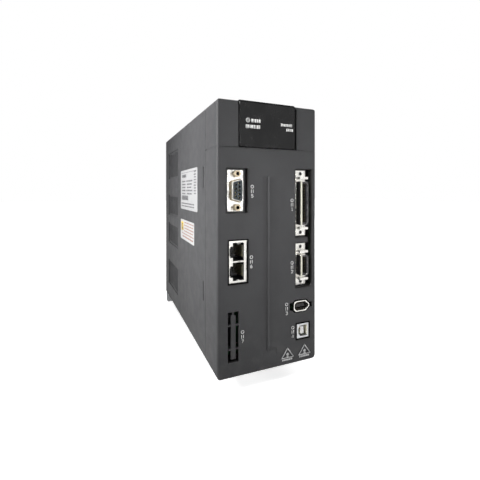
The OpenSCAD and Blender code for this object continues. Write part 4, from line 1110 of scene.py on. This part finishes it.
def board_parts():
    """Chips with legs, and small parts in rows, on the rear of the control board."""
    chips, legs, parts = Shape(), Shape(), Shape()
    back = 21.6
    for x, t, width, height in CHIPS:
        chips.plate(around(x, width / 2), (back + 0.2, back + 1.7), around(t, height / 2), 0.3, 2)
        count = int(height / LEG_PITCH) - 1
        for side in (-1, 1):
            edge = x + side * width / 2
            for i in range(count):
                leg_t = t + (i - (count - 1) / 2) * LEG_PITCH
                legs.wire([(edge + side * out, back + off, leg_t) for out, off in LEG_BEND], 0.17, 6)
    for row in range(6):
        for i in range(9):
            x, t = 22 + i * 4.8, 62 + row * 24
            tall = 0.5 + 0.35 * ((row * 5 + i * 3) % 3)
            parts.box((x, x + 1.6), (back, back + tall), (t, t + 0.9 + 0.3 * ((i + row) % 2)))
    chips.make("board_chips", "black_resin", edge=0.12)
    legs.make("chip_legs", "bright_steel")
    parts.make("board_chip_parts", "module_resin", edge=0.08, segments=1)


# ---------- Camera, floor and light ----------


def camera():
    """Stands low in front of the left side and looks level, as the view of the object does."""
    turn = math.radians(21.06)
    data = bpy.data.cameras.new("camera")
    data.sensor_width = 36
    data.lens = 22.3
    data.shift_x = 0.0354
    data.shift_y = -0.1024
    data.clip_start = 0.01
    made = add_object("camera", data)
    made.location = at(-72.5, -199.7, HEIGHT / 2 - 35.1)
    look = Vector((math.sin(turn), math.cos(turn), 0))
    made.rotation_euler = look.to_track_quat("-Z", "Y").to_euler()
    bpy.context.scene.camera = made


def floor():
    """A plain pale floor under the lower mounting ear."""
    half = 4.0
    mesh = bpy.data.meshes.new("floor")
    z = cad_low.z - 0.0005
    edge = (-half, half)
    mesh.from_pydata([(x, y, z) for x, y in corners(edge, edge)], [], [(0, 1, 2, 3)])
    s = Shader("floor", IOR=1.4, Roughness=0.7, Emission_Color=(1, 1, 1, 1))
    rays = s.node("LightPath").outputs
    soft = rays["Is Diffuse Ray"]
    bounced = s.math("MAXIMUM", soft, rays["Is Glossy Ray"])
    pale = s.mix(s.noise(90, 3.0), (0.87, 0.87, 0.87), (0.89, 0.89, 0.89))
    s.link(s.mix(soft, pale, (0.25, 0.25, 0.25)), "Base Color")
    s.link(s.ramp(bounced, 0, 1, 0.75, 0, False), "Emission Strength")
    mesh.materials.append(s.material)
    made = add_object("floor", mesh)


def lamp(name, kind, place, aim, power, **settings):
    """A lamp at place, in metres, that points at aim."""
    data = bpy.data.lights.new(name, kind)
    data.energy = power
    for key, value in settings.items():
        setattr(data, key, value)
    made = add_object(name, data)
    made.location = Vector(place)
    made.rotation_euler = (Vector(aim) - made.location).to_track_quat("-Z", "Y").to_euler()


def studio():
    """A white room with lamps on the left, in front, above and behind."""
    world = bpy.data.worlds.new("studio")
    world.use_nodes = True
    tree = world.node_tree
    back = tree.nodes["Background"]
    back.inputs["Color"].default_value = (1, 1, 1, 1)
    seen = tree.nodes.new("ShaderNodeLightPath").outputs["Is Camera Ray"]
    level = tree.nodes.new("ShaderNodeMapRange")
    level.inputs["To Min"].default_value = 0.08
    level.inputs["To Max"].default_value = 1.0
    tree.links.new(seen, level.inputs["Value"])
    tree.links.new(level.outputs["Result"], back.inputs["Strength"])
    bpy.context.scene.world = world
    soft = {"spot_blend": 1.0, "shadow_soft_size": 0.1}
    lamp("key", "SPOT", (-0.76, -0.37, 0.46), (-0.04, -0.22, 0.09), 41, spot_size=0.58, **soft)
    lamp("side", "SPOT", (-0.9, -0.1, 0.3), (-0.043, -0.165, 0.085), 32, spot_size=0.24, **soft)
    lamp("flank", "SPOT", (-0.95, -0.08, 0.22), (-0.043, -0.14, 0.05), 46, spot_size=0.42, **soft)
    lamp("front", "SPOT", (0.08, -1.1, 0.1), (0.02, -0.2, 0.045), 13, spot_size=0.27, **soft)
    lamp("middle", "SPOT", (0.0, -1.1, 0.05), (0.005, -0.2, 0.015), 25, spot_size=0.2, **soft)
    lamp("sheen", "AREA", (0.5, -1.15, 0.3), (0.0, -0.2, 0.0), 2.0, size=0.9)
    lamp("top", "SUN", (0.0, 0.0, 1.0), (0.06, 0.06, 0.0), 2.0, angle=0.9)
    lamp("rear", "AREA", (1.0, 0.7, 0.6), (0.0, -0.1, 0.0), 9, size=0.8)
    bpy.context.scene.view_settings.view_transform = "Standard"


port_marks()
triangle_marks()
door_marks()
nameplate()
rating_label()
network_jacks()
serial_socket()
ribbon_socket("mdr50", 59.05, 94.65, 50)
ribbon_socket("mdr20", 118.2, 135.2, 20)
small_socket_contacts()
socket_outlines()
seam_tongues()
display_digits()
key_marks()
terminal_parts()
terminal_marks()
fan_sticker()
fan_blades()
capacitor_cans()
choke_windings()
transformer_windings()
power_details()
board_parts()
camera()
floor()
studio()
